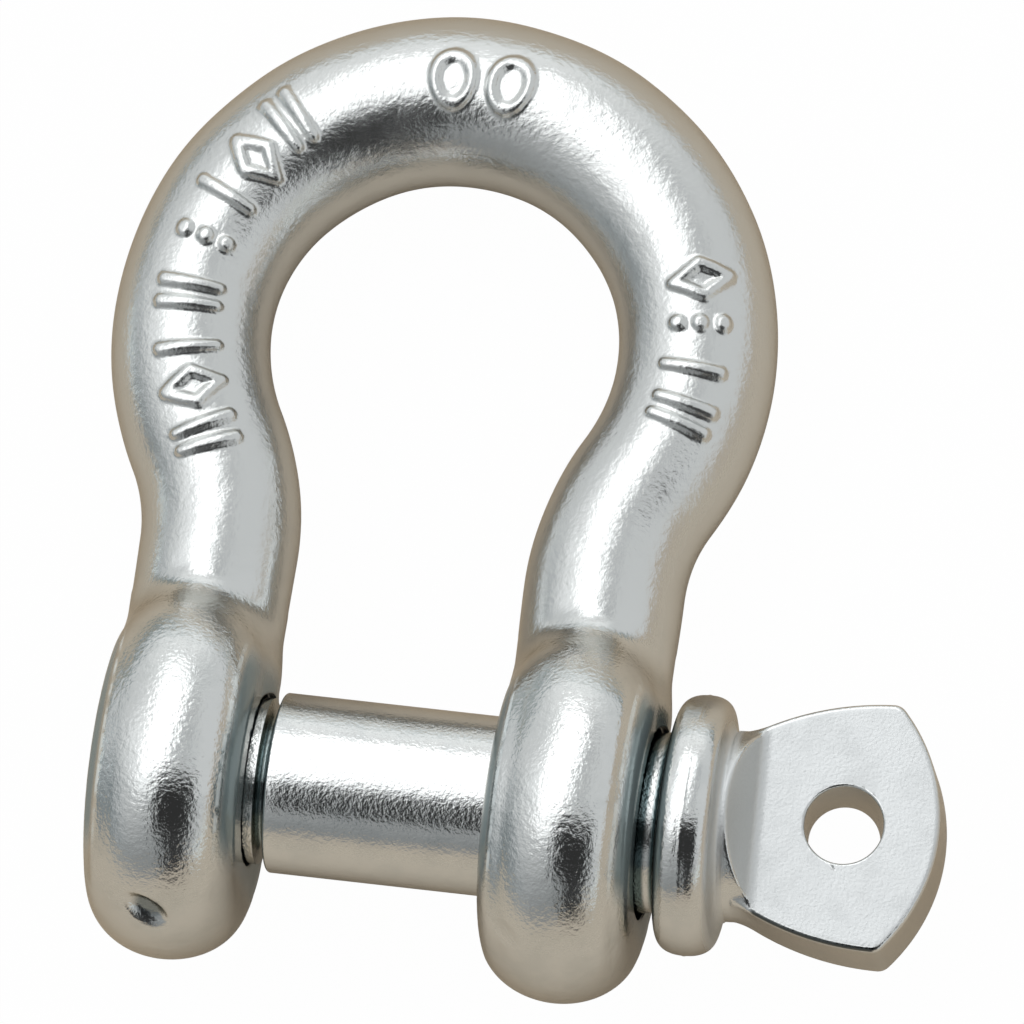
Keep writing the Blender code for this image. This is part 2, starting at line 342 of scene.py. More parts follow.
class Shader:
    """A node tree that is built one node at a time."""

    def __init__(self, tree: bpy.types.NodeTree) -> None:
        """Takes over a tree and empties it."""
        self.tree = tree
        tree.nodes.clear()

    def node(
        self, kind: str, settings: dict | None = None, values: dict | None = None
    ) -> bpy.types.Node:
        """Adds a node.

        Args:
            kind: the node's type.
            settings: its properties, which are set first.
            values: sockets by name or number, each a number, a colour or a Socket.

        Returns:
            The node.
        """
        node = self.tree.nodes.new(kind)
        for name, value in (settings or {}).items():
            setattr(node, name, value)
        for key, value in (values or {}).items():
            if isinstance(value, Socket):
                self.tree.links.new(value.socket, node.inputs[key])
            else:
                node.inputs[key].default_value = value
        return node

    def output(
        self,
        kind: str,
        settings: dict | None = None,
        values: dict | None = None,
        key: str | int = 0,
    ) -> Socket:
        """Adds a node and gives one of its outputs.

        Args:
            kind: the node's type.
            settings: its properties.
            values: its sockets.
            key: which output.

        Returns:
            That output.
        """
        return Socket(self, self.node(kind, settings, values).outputs[key])

    def mix(
        self, share: Socket | float, first: Socket | tuple, second: Socket | tuple
    ) -> Socket:
        """Mixes two colours.

        Args:
            share: 0 for the first and 1 for the second.
            first: a colour.
            second: another colour.

        Returns:
            The mixed colour.
        """
        settings = {"data_type": "RGBA"}
        return self.output("ShaderNodeMix", settings, {0: share, 6: first, 7: second}, 2)

    def noise(self, place: Socket, size: float, detail: float = 2.0, rough: float = 0.5) -> Socket:
        """Noise of 0 to 1.

        Args:
            place: where, in metres.
            size: the size of its spots, in metres.
            detail: how many finer layers it has.
            rough: how strong those are.

        Returns:
            The noise.
        """
        values = {"Vector": place, "Scale": 1 / size, "Detail": detail, "Roughness": rough}
        return self.output("ShaderNodeTexNoise", {"noise_dimensions": "3D"}, values, "Fac")

    def along(self, direction: Socket, axis: Vector) -> Socket:
        """How far a direction goes along an axis."""
        settings, values = {"operation": "DOT_PRODUCT"}, {0: direction, 1: tuple(axis)}
        return self.output("ShaderNodeVectorMath", settings, values, "Value")

    def part(self, vector: Socket, axis: str) -> Socket:
        """A vector's X, Y or Z."""
        return self.output("ShaderNodeSeparateXYZ", None, {"Vector": vector}, axis)

    def undo(self, vector: Socket, move: Matrix) -> Socket:
        """Takes a vector back by a move.

        Args:
            vector: a vector in the frame that the move leads to.
            move: a turn, with or without a shift.

        Returns:
            The vector in the frame that the move starts from.
        """
        shift, turn = tuple(move.translation), tuple(move.to_euler())
        values = {"Vector": vector, "Location": shift, "Rotation": turn}
        return self.output("ShaderNodeMapping", {"vector_type": "TEXTURE"}, values, "Vector")


def opaque(colour: tuple[float, float, float]) -> tuple[float, float, float, float]:
    """A colour with its alpha."""
    return (*colour, 1.0)


@dataclass(frozen=True)
class Texture:
    """Relief of the plated skin, in metres."""

    grain: float  # spots of the plating's grain
    grain_depth: float
    peel: float  # swells of the skin under it
    peel_depth: float
    grain_layers: float = 3.0
    grain_rough: float = 0.55

    def height(self, shader: Shader, place: Socket) -> Socket:
        """The relief as a shader value.

        Args:
            shader: the material's shader.
            place: the place in the shackle's own frame.

        Returns:
            Its height in millimetres.
        """
        grain = shader.noise(place, self.grain, self.grain_layers, self.grain_rough)
        peel = shader.noise(place, self.peel)
        return grain * (self.grain_depth / MM) + peel * (self.peel_depth / MM)


@dataclass(frozen=True)
class Band:
    """A stretch along the pin's axis."""

    start: float
    end: float
    soft: float
    colour: tuple[float, float, float] = (0.0, 0.0, 0.0)

    def mask(self, shader: Shader, place: Socket) -> Socket:
        """Where the band is.

        Args:
            shader: the material's shader.
            place: the place in the shackle's own frame.

        Returns:
            1 in the band and 0 beside it.
        """
        x = shader.part(place, "X")
        return x.above(self.start, self.soft) * x.below(self.end, self.soft)


@dataclass(frozen=True)
class Core:
    """Painted shade on the wall and the mouths of one ear's hole."""

    ear_side: int  # 1 for the plain ear, -1 for the tapped one
    radius: float
    soft: float
    colour: tuple[float, float, float]

    def mask(self, shader: Shader, place: Socket) -> Socket:
        """Where the hole's wall and mouths are.

        Args:
            shader: the material's shader.
            place: the place in the shackle's own frame.

        Returns:
            1 near the axis in that ear and 0 elsewhere.
        """
        across = {0: place, 1: (0.0, 1.0, 1.0)}
        flat = shader.output("ShaderNodeVectorMath", {"operation": "MULTIPLY"}, across, "Vector")
        away = shader.output("ShaderNodeVectorMath", {"operation": "LENGTH"}, {0: flat}, "Value")
        this_ear = shader.part(place, "X").step(-self.ear_side * MM, self.ear_side * MM)
        return this_ear * away.below(self.radius, self.soft)


@dataclass(frozen=True)
class Spot:
    """A round patch."""

    middle: tuple[float, float, float]
    radius: float
    soft: float
    colour: tuple[float, float, float]

    def mask(self, shader: Shader, place: Socket) -> Socket:
        """Where the patch is.

        Args:
            shader: the material's shader.
            place: the place in the shackle's own frame.

        Returns:
            1 in the patch and 0 round it.
        """
        settings = {"operation": "DISTANCE"}
        away = shader.output("ShaderNodeVectorMath", settings, {0: place, 1: self.middle}, "Value")
        return away.below(self.radius, self.soft)


@dataclass(frozen=True)
class Rims:
    """The steep edges of both ears: duller and smoother, with a painted dark teal reflection on
    them and a painted highlight line inside.
    """

    ear_x: float
    from_middle: float = 3.48 * MM  # how far from an ear's middle they begin
    soft: float = 0.15 * MM
    low_y: float = -5.5 * MM
    high_y: float = 5.5 * MM
    # painted dark teal reflection on the rims
    colour: tuple[float, float, float] = (0.27, 0.335, 0.35)
    line_middle: float = 3.28 * MM  # how far from an ear's middle the painted highlight line is
    line_half: float = 0.13 * MM  # half its width
    painted_highlight_colour: tuple[float, float, float] = (0.84, 0.90, 0.91)
    line_core: float = 0.3  # share of that half that is at full strength
    fade: float = MM  # how softly both end towards the crown and away from it
    highlight_gaps: float = 0.9 * MM  # size of the gaps left in the painted highlight line
    highlight_gap_noise: tuple[float, float] = (0.3, 0.55)
    smoothing: float = 0.7  # how much of the relief is gone
    dulling: float = 0.6  # how much of the metal's shine is gone

    def masks(self, shader: Shader, place: Socket) -> tuple[Socket, Socket]:
        """Where the rims, with their painted dark reflection, and the painted highlight lines are.

        Args:
            shader: the material's shader.
            place: the place in the shackle's own frame.

        Returns:
            1 on the rims and 0 beside them, and the same for the painted highlight lines.
        """
        y = shader.part(place, "Y")
        from_middle = abs(abs(shader.part(place, "X")) - self.ear_x)
        share = y.above(self.low_y, self.fade) * y.below(self.high_y, self.fade)
        edge = from_middle.above(self.from_middle, self.soft)
        line = abs(from_middle - self.line_middle)
        line = line.step(self.line_half, self.line_core * self.line_half)
        highlight_gaps = shader.noise(place, self.highlight_gaps).step(*self.highlight_gap_noise)
        return edge * share, line * share * highlight_gaps


@dataclass(frozen=True)
class Flats:
    """The eye plate's flats: satin, with a painted dark reflection along the edge on the side away
    from the crown.

    Each pair says where a mask is 0 and where it is 1.
    """

    edge_x: tuple[float, float]  # along the pin
    # painted dark reflection along the eye plate's lower edge
    painted_reflection_colour: tuple[float, float, float] = (0.12, 0.13, 0.13)
    edge_y: tuple[float, float] = (-3.0 * MM, -4.0 * MM)
    edge_endways: tuple[float, float] = (0.3, 0.1)  # X of the normal
    edge_sideways: tuple[float, float] = (-0.12, -0.3)  # Y of the normal
    edge_frontways: tuple[float, float] = (0.25, 0.5)  # Z of the normal
    flat_sideways: tuple[float, float] = (0.25, 0.1)  # Y of the normal without its sign
    flat_frontways: tuple[float, float] = (0.2, 0.38)  # Z of the normal without its sign

    def masks(self, shader: Shader, place: Socket, lay: Matrix) -> tuple[Socket, Socket]:
        """Where skin faces the front or back, and where the painted dark reflection along the edge
        is.

        Args:
            shader: the material's shader.
            place: the place in the shackle's own frame.
            lay: takes that frame to the row's frame.

        Returns:
            1 on the flats and 0 elsewhere, and the same for the painted edge reflection.
        """
        normal = shader.output("ShaderNodeTexCoord", None, None, "Normal")
        normal = shader.undo(normal, lay.to_3x3().to_4x4())
        endways, sideways, frontways = [shader.part(normal, axis) for axis in "XYZ"]
        flat = abs(frontways).step(*self.flat_frontways) * abs(sideways).step(*self.flat_sideways)
        edge = frontways.step(*self.edge_frontways) * sideways.step(*self.edge_sideways)
        edge = edge * endways.step(*self.edge_endways) * shader.part(place, "X").step(*self.edge_x)
        return flat, edge * shader.part(place, "Y").step(*self.edge_y)


@dataclass(frozen=True)
class ZincPlate:
    """Bright zinc plating over steel, polished in some places and satin in others."""

    name: str
    slot: str
    lay: Matrix  # takes the shackle's own frame to the row's frame
    colour: tuple[float, float, float]
    dull_colour: tuple[float, float, float]
    satin_colour: tuple[float, float, float]
    edge_tint: tuple[float, float, float]
    satin: float  # roughness of the satin skin
    satin_axis: str  # along which axis of the shackle's frame the one turns into the other
    satin_from: float
    satin_to: float
    polished_skin: Texture
    satin_skin: Texture
    polish: float = 0.08  # roughness of the polished skin
    cloud: float = 2.2 * MM  # size of the duller clouds
    cloud_layers: float = 4.0
    cloud_rough: float = 0.6
    cloud_noise: tuple[float, float] = (0.40, 0.70)  # noise that is not dull, and noise that is
    cloud_haze: float = 0.06  # roughness that a cloud adds
    flats: Flats | None = None
    rims: Rims | None = None
    brushed: Band | None = None  # a stretch that is satin whichever way it faces
    # patches of painted shade, each a mask and a dark colour
    painted_shade: tuple[Band | Core | Spot, ...] = ()

    def material(self) -> bpy.types.Material:
        """The finish as a material.

        Returns:
            A new material.
        """
        material = bpy.data.materials.new(self.name)
        material.use_nodes = True
        shader = Shader(material.node_tree)
        place = shader.undo(shader.output("ShaderNodeTexCoord", None, None, "Object"), self.lay)
        satin = shader.part(place, self.satin_axis).step(self.satin_from, self.satin_to)
        if self.flats:
            flat, painted_edge_reflection = self.flats.masks(shader, place, self.lay)
            satin = satin * flat
        if self.brushed:
            satin = satin + (1 - satin) * self.brushed.mask(shader, place)
        polished = self.polished_skin.height(shader, place)
        relief = polished + satin * (self.satin_skin.height(shader, place) - polished)
        cloud = shader.noise(place, self.cloud, self.cloud_layers, self.cloud_rough)
        dull = cloud.step(*self.cloud_noise)
        colour = shader.mix(dull, opaque(self.colour), opaque(self.dull_colour))
        colour = shader.mix(satin, colour, opaque(self.satin_colour))
        metallic = 1.0
        if self.rims:
            rims, lines = self.rims.masks(shader, place)
            relief = relief * (1 - rims * self.rims.smoothing)
            metallic = (1 - rims * self.rims.dulling) * (1 - lines * self.rims.dulling)
            # painted dark teal reflection on the ears' rims, and over it a painted highlight line
            colour = shader.mix(rims, colour, opaque(self.rims.colour))
            colour = shader.mix(lines, colour, opaque(self.rims.painted_highlight_colour))
        if self.flats:
            # painted dark reflection on the eye plate's lower edge
            colour = shader.mix(painted_edge_reflection, colour, opaque(self.flats.painted_reflection_colour))
        # lays the painted shade over the colour
        for shade_patch in self.painted_shade:
            colour = shader.mix(shade_patch.mask(shader, place), colour, opaque(shade_patch.colour))
        bumps = {"Strength": 1.0, "Distance": MM, "Height": relief}
        finish = {
            "Base Color": colour,
            "Metallic": metallic,
            "Roughness": self.polish + satin * (self.satin - self.polish) + dull * self.cloud_haze,
            "Specular Tint": opaque(self.edge_tint),
            "Normal": shader.output("ShaderNodeBump", None, bumps, "Normal"),
        }
        metal = shader.output("ShaderNodeBsdfPrincipled", None, finish)
        shader.node("ShaderNodeOutputMaterial", None, {"Surface": metal})
        return material


class MarkKind(Enum):
    """Forms of the raised marks that the die leaves on the bow."""

    BAR = "one bar across the band"
    TWIN = "two bars side by side"
    LOZENGE = "an upright lozenge"
    DOTS = "three dots in a row"
    RING = "a ring"


@dataclass(frozen=True)
class ForgeMark:
    """One raised mark on the front of the bow."""

    kind: MarkKind
    bow_angle: float  # degrees round the bow from the crown, towards the plain ear
    lean: float = 0.0  # degrees round the bar from its front, outwards
    reach: float = 1.55 * MM  # half its size across the band
    spread: float = 0.9 * MM  # half its size along the band
    stroke: float = 0.3 * MM  # half the width of its strokes
    flank: float = 0.17 * MM
    rise: float = 0.27 * MM

    def distance(self, a: np.ndarray, b: np.ndarray) -> np.ndarray:
        """Distances to the mark's strokes.

        Args:
            a: places along the band from the mark's middle, in metres.
            b: places across it, outwards.

        Returns:
            The distance from each place to the nearest stroke's line.
        """
        reach, spread = self.reach, self.spread
        if self.kind is MarkKind.BAR:
            return to_segment(a, b, (0, -reach), (0, reach))
        if self.kind is MarkKind.TWIN:
            side = 0.62 * spread
            return np.minimum(
                to_segment(a, b, (-side, -reach), (-side, reach)),
                to_segment(a, b, (side, -reach), (side, reach)),
            )
        if self.kind is MarkKind.LOZENGE:
            corners = [(0, -reach), (spread, 0), (0, reach), (-spread, 0)]
            sides = zip(corners, corners[1:] + corners[:1])
            return np.minimum.reduce([to_segment(a, b, start, end) for start, end in sides])
        if self.kind is MarkKind.DOTS:
            gap = reach - self.stroke
            dots = [np.hypot(a, b - gap * place) for place in (-1, 0, 1)]
            return np.minimum.reduce(dots) - 0.4 * self.stroke
        return np.abs(np.hypot(a / spread, b / reach) - 1) * (spread + reach) / 2

    def height(self, a: np.ndarray, b: np.ndarray) -> np.ndarray:
        """How far the mark stands up at each place, in metres."""
        edge = self.stroke + self.flank
        return self.rise * smooth_step((edge - self.distance(a, b)) / (2 * self.flank))


@dataclass(frozen=True)
class Dent:
    """A hollow knocked into an ear's rim."""

    ear_side: int  # 1 for the plain ear, -1 for the tapped one
    ear_angle: float  # degrees round the ear from its front, away from the crown
    rim_angle: float  # degrees across the rim from its middle, towards +X
    lean: float  # degrees of its long way from +X, away from the crown
    length: float  # half its length
    width: float  # half its width
    depth: float
    floor: float = 0.35  # share of it that is at full depth


class BarStation(NamedTuple):
    """Where the bar's centreline is at each ring, all as columns."""

    x: np.ndarray
    y: np.ndarray
    out_x: np.ndarray
    out_y: np.ndarray
    radius: np.ndarray
    past_ear: np.ndarray  # how far beyond the ear's centre

    def points(self, turns: np.ndarray, reach: np.ndarray) -> np.ndarray:
        """Places round the centreline.

        Args:
            turns: angles round the bar from its front, outwards.
            reach: how far each (ring, turn) is from the centreline.

        Returns:
            Places in the shackle's own frame, (ring, turn, xyz).
        """
        across = reach * np.sin(turns)
        x = self.x + across * self.out_x
        y = self.y + across * self.out_y
        return np.stack([x, y, reach * np.cos(turns)], axis=-1)


@dataclass
class Bow:
    """The forging: a bent round bar with an ear on each end."""

    stock_r: float = 4.28 * MM
    crown_r: float = 4.56 * MM
    bend_r: float = 13.67 * MM
    centre_y: float = 24.94 * MM
    waist_x: float = 10.47 * MM
    waist_bend_r: float = 12.0 * MM
    leg_root_r: float = 4.23 * MM
    leg_root_depth: float = 3.0 * MM
    leg_hidden_step: float = 0.35 * MM  # how much thinner the bar is inside the ear
    jaw: float = 13.12 * MM
    ear_thickness: float = 8.12 * MM
    ear_flat_r: float = 6.3 * MM
    ear_drop: float = 0.57 * MM
    crease: float = 1.1 * MM  # how softly leg and ear run together at the sides
    front_crease: float = 1.5 * MM  # and in front and at the back
    ear_stretch: float = 0.13  # how much further in front the ear reaches up the leg
    stretch_run: float = 6.0 * MM  # from the ear's middle to where that is complete
    plain_bore_r: float = 5.125 * MM
    tapped_bore_r: float = 4.6 * MM
    plain_bore_round: float = 0.12 * MM
    tapped_bore_round: float = 0.1 * MM
    thread_pitch: float = 1.5875 * MM
    thread_depth: float = 0.5 * MM
    thread_slope: float = 1.35  # of its flanks, as a share of its depth for half a pitch
    thread_flat: float = 0.17  # how wide its crests are, in the same terms
    thread_inset: float = 0.4 * MM  # from the ear's faces
    thread_rings: int = 90
    plain_rings: int = 8
    bore_sides: int = 96
    swell: float = 0.025 * MM
    fine: float = 0.125 * MM  # facets under the forge marks
    coarse: float = 0.34 * MM  # facets elsewhere
    end_gap: float = 0.02 * MM  # between the last ring and the ear's end
    end_share: float = 0.032  # ring spacing near that end, as a share of the ear's height there
    end_step: float = 0.03 * MM  # but never less than this
    mark_zone: float = 1.7 * MM  # half the length with close rings under a mark
    mark_turns: tuple[float, float] = (math.radians(-38), math.radians(54))  # with close points
    wide_sides: int = 60  # points on the rest of a ring
    halvings: int = 24  # steps in the search for the skin
    swell_length: float = 7.0 * MM
    swell_seed: int = 4
    swell_sink: float = 0.6  # how far the skin is set back for it, as a share of it
    face_from: float = 3.6 * MM  # from an ear's middle, where its faces lose the swell
    face_fade: float = 0.4 * MM
    sharp: float = math.radians(50)  # edges steeper than this are shaded sharp
    marks: tuple[ForgeMark, ...] = (
        ForgeMark(MarkKind.TWIN, -42.1, 6.0),
        ForgeMark(MarkKind.LOZENGE, -53.5, -1.0),
        ForgeMark(MarkKind.BAR, -64.0, 0.0),
        ForgeMark(MarkKind.DOTS, -74.7, -2.0),
        ForgeMark(MarkKind.TWIN, -88.6, -3.0),
        ForgeMark(MarkKind.BAR, -101.4, -4.0),
        ForgeMark(MarkKind.LOZENGE, -111.0, -4.0),
        ForgeMark(MarkKind.TWIN, -122.5, -2.0),
        ForgeMark(MarkKind.RING, -4.2, 0.0, reach=1.35 * MM, spread=1.0 * MM),
        ForgeMark(MarkKind.RING, 8.8, 1.0, reach=1.35 * MM, spread=1.0 * MM),
        ForgeMark(MarkKind.LOZENGE, 73.3, 10.0),
        ForgeMark(MarkKind.DOTS, 83.0, 7.0),
        ForgeMark(MarkKind.BAR, 93.2, 5.0),
        ForgeMark(MarkKind.TWIN, 103.6, 7.0),
    )
    dents: tuple[Dent, ...] = (
        Dent(-1, 62.0, -2.0, 42.0, 1.7 * MM, 1.05 * MM, 0.55 * MM),
        Dent(1, 57.0, -31.0, 90.0, 0.9 * MM, 0.8 * MM, 0.1 * MM),
    )
    trim_x: float = -3.35 * MM  # the line left along the tapped ear's outer edge
    trim_width: float = 0.3 * MM
    trim_depth: float = 0.16 * MM
    trim_angles: tuple[float, float] = (-52.0, 66.0)  # degrees round the ear from its front
    trim_fades: tuple[float, float] = (14.0, 8.0)
    tapped_turn: float = math.radians(3)  # how much each ear's front is turned towards -X
    plain_turn: float = math.radians(6)
    turn_angles: tuple[float, float] = (-55.0, 90.0)  # where that starts and ends round the ear
    turn_fades: tuple[float, float] = (25.0, 30.0)
    turn_share: float = 0.44  # of the ear's thickness on each side of its middle
    front_fade: float = 3.0 * MM  # how far behind the front both have faded

    def __post_init__(self) -> None:
        """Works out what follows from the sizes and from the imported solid."""
        low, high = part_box("bow")
        self.ear_r = (high.z - low.z) / 2
        self.ear_x = (self.jaw + self.ear_thickness) / 2
        self.bend_x = self.waist_x + self.waist_bend_r
        fall = math.sqrt((self.bend_r + self.waist_bend_r) ** 2 - self.bend_x**2)
        self.bend_y = self.centre_y - fall
        self.meet = math.atan2(-fall, self.bend_x)
        ear_y = -self.ear_drop
        to_ear = math.atan2(ear_y - self.bend_y, self.ear_x - self.bend_x) % math.tau
        away = math.hypot(self.ear_x - self.bend_x, ear_y - self.bend_y)
        self.enter = self.meet + math.pi
        self.leave = to_ear - math.acos(self.waist_bend_r / away)
        self.top_x = self.bend_x + self.waist_bend_r * math.cos(self.leave)
        self.top_y = self.bend_y + self.waist_bend_r * math.sin(self.leave)
        self.crown_run = self.bend_r * (math.pi / 2 - self.meet)
        self.waist_run = self.waist_bend_r * (self.leave - self.enter)
        self.leg_run = math.hypot(self.ear_x - self.top_x, ear_y - self.top_y)
        self.half_run = self.crown_run + self.waist_run + self.leg_run + self.ear_r
        crown_y = self.centre_y + self.bend_r
        self.tilt = math.asin((self.ear_r - self.crown_r) / (crown_y + self.ear_drop))
        self.middle_x = (low.x + high.x) / 2
        self.pin_y = low.y + self.ear_r + self.ear_drop * math.cos(self.tilt)
        self.pin_z = self.ear_r - self.ear_drop * math.sin(self.tilt)

    def lay(self) -> Matrix:
        """The matrix that takes the shackle's own frame to the row's frame."""
        at = Matrix.Translation((self.middle_x, self.pin_y, self.pin_z))
        return at @ Matrix.Rotation(-self.tilt, 4, "X")

    def stations(self, along: np.ndarray) -> BarStation:
        """The bar's centreline.

        Args:
            along: distances along it from the crown, positive towards the plain ear.

        Returns:
            The centreline there, in columns.
        """
        run = np.abs(along)[:, None]
        turn = math.pi / 2 - run / self.bend_r
        swing = self.enter + (run - self.crown_run) / self.waist_bend_r
        down = run - self.crown_run - self.waist_run
        go_x = (self.ear_x - self.top_x) / self.leg_run
        go_y = (-self.ear_drop - self.top_y) / self.leg_run
        where = [run < self.crown_run, down < 0]
        x = np.select(
            where,
            [self.bend_r * np.cos(turn), self.bend_x + self.waist_bend_r * np.cos(swing)],
            self.top_x + go_x * down,
        )
        y = np.select(
            where,
            [
                self.centre_y + self.bend_r * np.sin(turn),
                self.bend_y + self.waist_bend_r * np.sin(swing),
            ],
            self.top_y + go_y * down,
        )
        out_x = np.select(where, [np.cos(turn), -np.cos(swing)], -go_y)
        out_y = np.select(where, [np.sin(turn), -np.sin(swing)], go_x)
        crown = np.maximum(np.sin(turn), 0) ** 2 * (run < self.crown_run)
        root_run = self.leg_run - (self.ear_r - self.leg_root_depth)
        root = smooth_step(down / root_run)
        hidden = smooth_step((down - root_run) / self.leg_root_depth)
        radius = self.stock_r + (self.crown_r - self.stock_r) * crown
        radius += (self.leg_root_r - self.stock_r) * root - self.leg_hidden_step * hidden
        side = np.where(along < 0, -1.0, 1.0)[:, None]
        past = np.maximum(down - self.leg_run, 0)
        return BarStation(x * side, y, out_x * side, out_y, radius, past)

    def skin_distance(self, bar: BarStation, turns: np.ndarray, reach: np.ndarray) -> np.ndarray:
        """Signed distance from points beside the centreline to the forging's skin.

        Args:
            bar: the centreline's stations.
            turns: angles round the bar from its front, outwards.
            reach: how far each point is from the centreline.

        Returns:
            The distances, negative inside.
        """
        from_bar = np.hypot(reach, bar.past_ear) - bar.radius
        across = reach * np.sin(turns)
        x = np.abs(bar.x + across * bar.out_x) - self.ear_x
        y = bar.y + across * bar.out_y + self.ear_drop
        longer = self.ear_stretch * np.cos(turns) ** 2 * smooth_step(y / self.stretch_run)
        from_axis = np.hypot(y * (1 - longer), reach * np.cos(turns))
        half = self.ear_thickness / 2
        rim = np.maximum(from_axis - self.ear_flat_r, 0) / (self.ear_r - self.ear_flat_r)
        from_ear = half * (np.hypot(x / half, rim) - 1)
        crease = self.crease + (self.front_crease - self.crease) * np.cos(turns) ** 2
        return smooth_union(from_bar, from_ear, crease)

    def rings_along(self) -> np.ndarray:
        """Where the rings of the mesh go along the centreline, closer under the marks.

        Returns:
            Distances from the crown, positive towards the plain ear.
        """
        spots = [math.radians(mark.bow_angle) * self.bend_r for mark in self.marks]
        last = self.half_run - self.end_gap
        along = -last
        found = []
        while along < last:
            found.append(along)
            from_end = self.half_run - abs(along)
            step = self.coarse
            if any(abs(along - spot) < self.mark_zone for spot in spots):
                step = self.fine
            elif from_end < self.ear_r:
                height = math.sqrt(self.ear_r**2 - (self.ear_r - from_end) ** 2)
                step = min(self.coarse, max(self.end_share * height, self.end_step))
            along += step
        found.append(last)
        return np.array(found)

    def turns_round(self) -> np.ndarray:
        """Where the mesh has points round the bar, closer under the marks.

        Returns:
            Angles from the bar's front, outwards.
        """
        low, high = self.mark_turns
        close = np.arange(low, high, self.fine / self.stock_r)
        wide = np.linspace(high, low + math.tau, self.wide_sides, endpoint=False)
        return np.concatenate([close, wide])

    def mark_height(self, along: np.ndarray, turns: np.ndarray, radius: np.ndarray) -> np.ndarray:
        """How far the forge marks raise the skin.

        Args:
            along: the rings' distances from the crown.
            turns: the angles round the bar.
            radius: the bar's radius at each ring, as a column.

        Returns:
            The height at each (ring, turn).
        """
        wrapped = (turns + math.pi) % math.tau - math.pi
        total = np.zeros((len(along), len(turns)))
        for mark in self.marks:
            outer = self.bend_r + radius * math.sin(math.radians(mark.lean))
            a = (along[:, None] / self.bend_r - math.radians(mark.bow_angle)) * outer
            b = (wrapped[None, :] - math.radians(mark.lean)) * radius
            total = np.maximum(total, mark.height(a, b))
        return total

    def dent_depth(self, points: np.ndarray) -> np.ndarray:
        """How deep the dents press in.

        Args:
            points: places in the shackle's own frame.

        Returns:
            The depth at each place.
        """
        half, rim_height = self.ear_thickness / 2, self.ear_r - self.ear_flat_r
        total = np.zeros(points.shape[:-1])
        for dent in self.dents:
            round_ear, over_rim = math.radians(dent.ear_angle), math.radians(dent.rim_angle)
            away = self.ear_flat_r + rim_height * math.cos(over_rim)
            x = dent.ear_side * self.ear_x + half * math.sin(over_rim)
            y = -self.ear_drop - away * math.sin(round_ear)
            z = away * math.cos(round_ear)
            rest = points - np.array([x, y, z])
            round_way = rest @ np.array([0.0, -math.cos(round_ear), -math.sin(round_ear)])
            along, across = math.cos(math.radians(dent.lean)), math.sin(math.radians(dent.lean))
            far = np.hypot(
                (rest[..., 0] * along + round_way * across) / dent.length,
                (round_way * along - rest[..., 0] * across) / dent.width,
            )
            front = points[..., 2] > 0
            total += dent.depth * (1 - smooth_step((far - dent.floor) / (1 - dent.floor))) * front
        return total

    def uneven_ears(self, points: np.ndarray) -> np.ndarray:
        """How far the trim line and the turned front raise the ears' skin.

        Args:
            points: places in the shackle's own frame.

        Returns:
            The height at each place.
        """
        front = smooth_step(points[..., 2] / self.front_fade)
        round_ear = np.degrees(np.arctan2(-points[..., 1] - self.ear_drop, points[..., 2]))
        from_middle = points[..., 0] + self.ear_x
        trim = smooth_step((self.trim_x - from_middle) / self.trim_width)
        trim *= smooth_step((from_middle + self.ear_thickness / 2) / self.trim_width)
        trim *= within(round_ear, self.trim_angles, self.trim_fades)
        from_middle = np.abs(points[..., 0]) - self.ear_x
        edge = smooth_step((self.turn_share * self.ear_thickness - np.abs(from_middle)) / MM)
        edge *= within(round_ear, self.turn_angles, self.turn_fades)
        plain, tapped = math.tan(self.plain_turn), -math.tan(self.tapped_turn)
        slope = np.where(points[..., 0] > 0, plain, tapped)
        return front * (slope * from_middle * edge - self.trim_depth * trim)

    def thread_height(self, x: np.ndarray, turns: np.ndarray) -> np.ndarray:
        """The tapped hole's thread at each (x, turn), 0 at its crest and 1 at its root."""
        phase = (x / self.thread_pitch - turns / math.tau) % 1.0
        return np.clip(self.thread_slope * np.abs(2 * phase - 1) - self.thread_flat, 0, 1)

    def bore_cutter(self, side: int) -> bpy.types.Mesh:
        """A cutter for one ear's hole, with rounded mouths and, in the tapped ear, a thread.

        Args:
            side: 1 for the plain ear and -1 for the tapped one.

        Returns:
            The cutter.
        """
        radius = self.plain_bore_r if side > 0 else self.tapped_bore_r
        soft = self.plain_bore_round if side > 0 else self.tapped_bore_round
        half = self.ear_thickness / 2
        bend = np.linspace(0, math.pi / 2, 7)
        mouth_x = half - soft + soft * np.sin(bend)
        mouth_r = radius + soft - soft * np.cos(bend)
        rings = self.plain_rings if side > 0 else self.thread_rings
        wall = np.linspace(-(half - soft), half - soft, rings)[1:-1]
        beyond = half + 1.5 * MM
        x = np.concatenate([[-beyond], -mouth_x[::-1], wall, mouth_x, [beyond]])
        reach = np.concatenate(
            [[mouth_r[-1]], mouth_r[::-1], np.full(len(wall), radius), mouth_r, [mouth_r[-1]]]
        )
        x = x + side * self.ear_x
        turns = np.linspace(0, math.tau, self.bore_sides, endpoint=False)
        radii = np.repeat(reach[:, None], len(turns), axis=1)
        if side < 0:
            from_face = half - self.thread_inset - np.abs(x + self.ear_x)
            inside = smooth_step(from_face / self.thread_pitch)[:, None]
            radii += self.thread_depth * inside * self.thread_height(x[:, None], turns)
        return skin_mesh(f"bore_{side}", turned_rings(x, radii, turns))

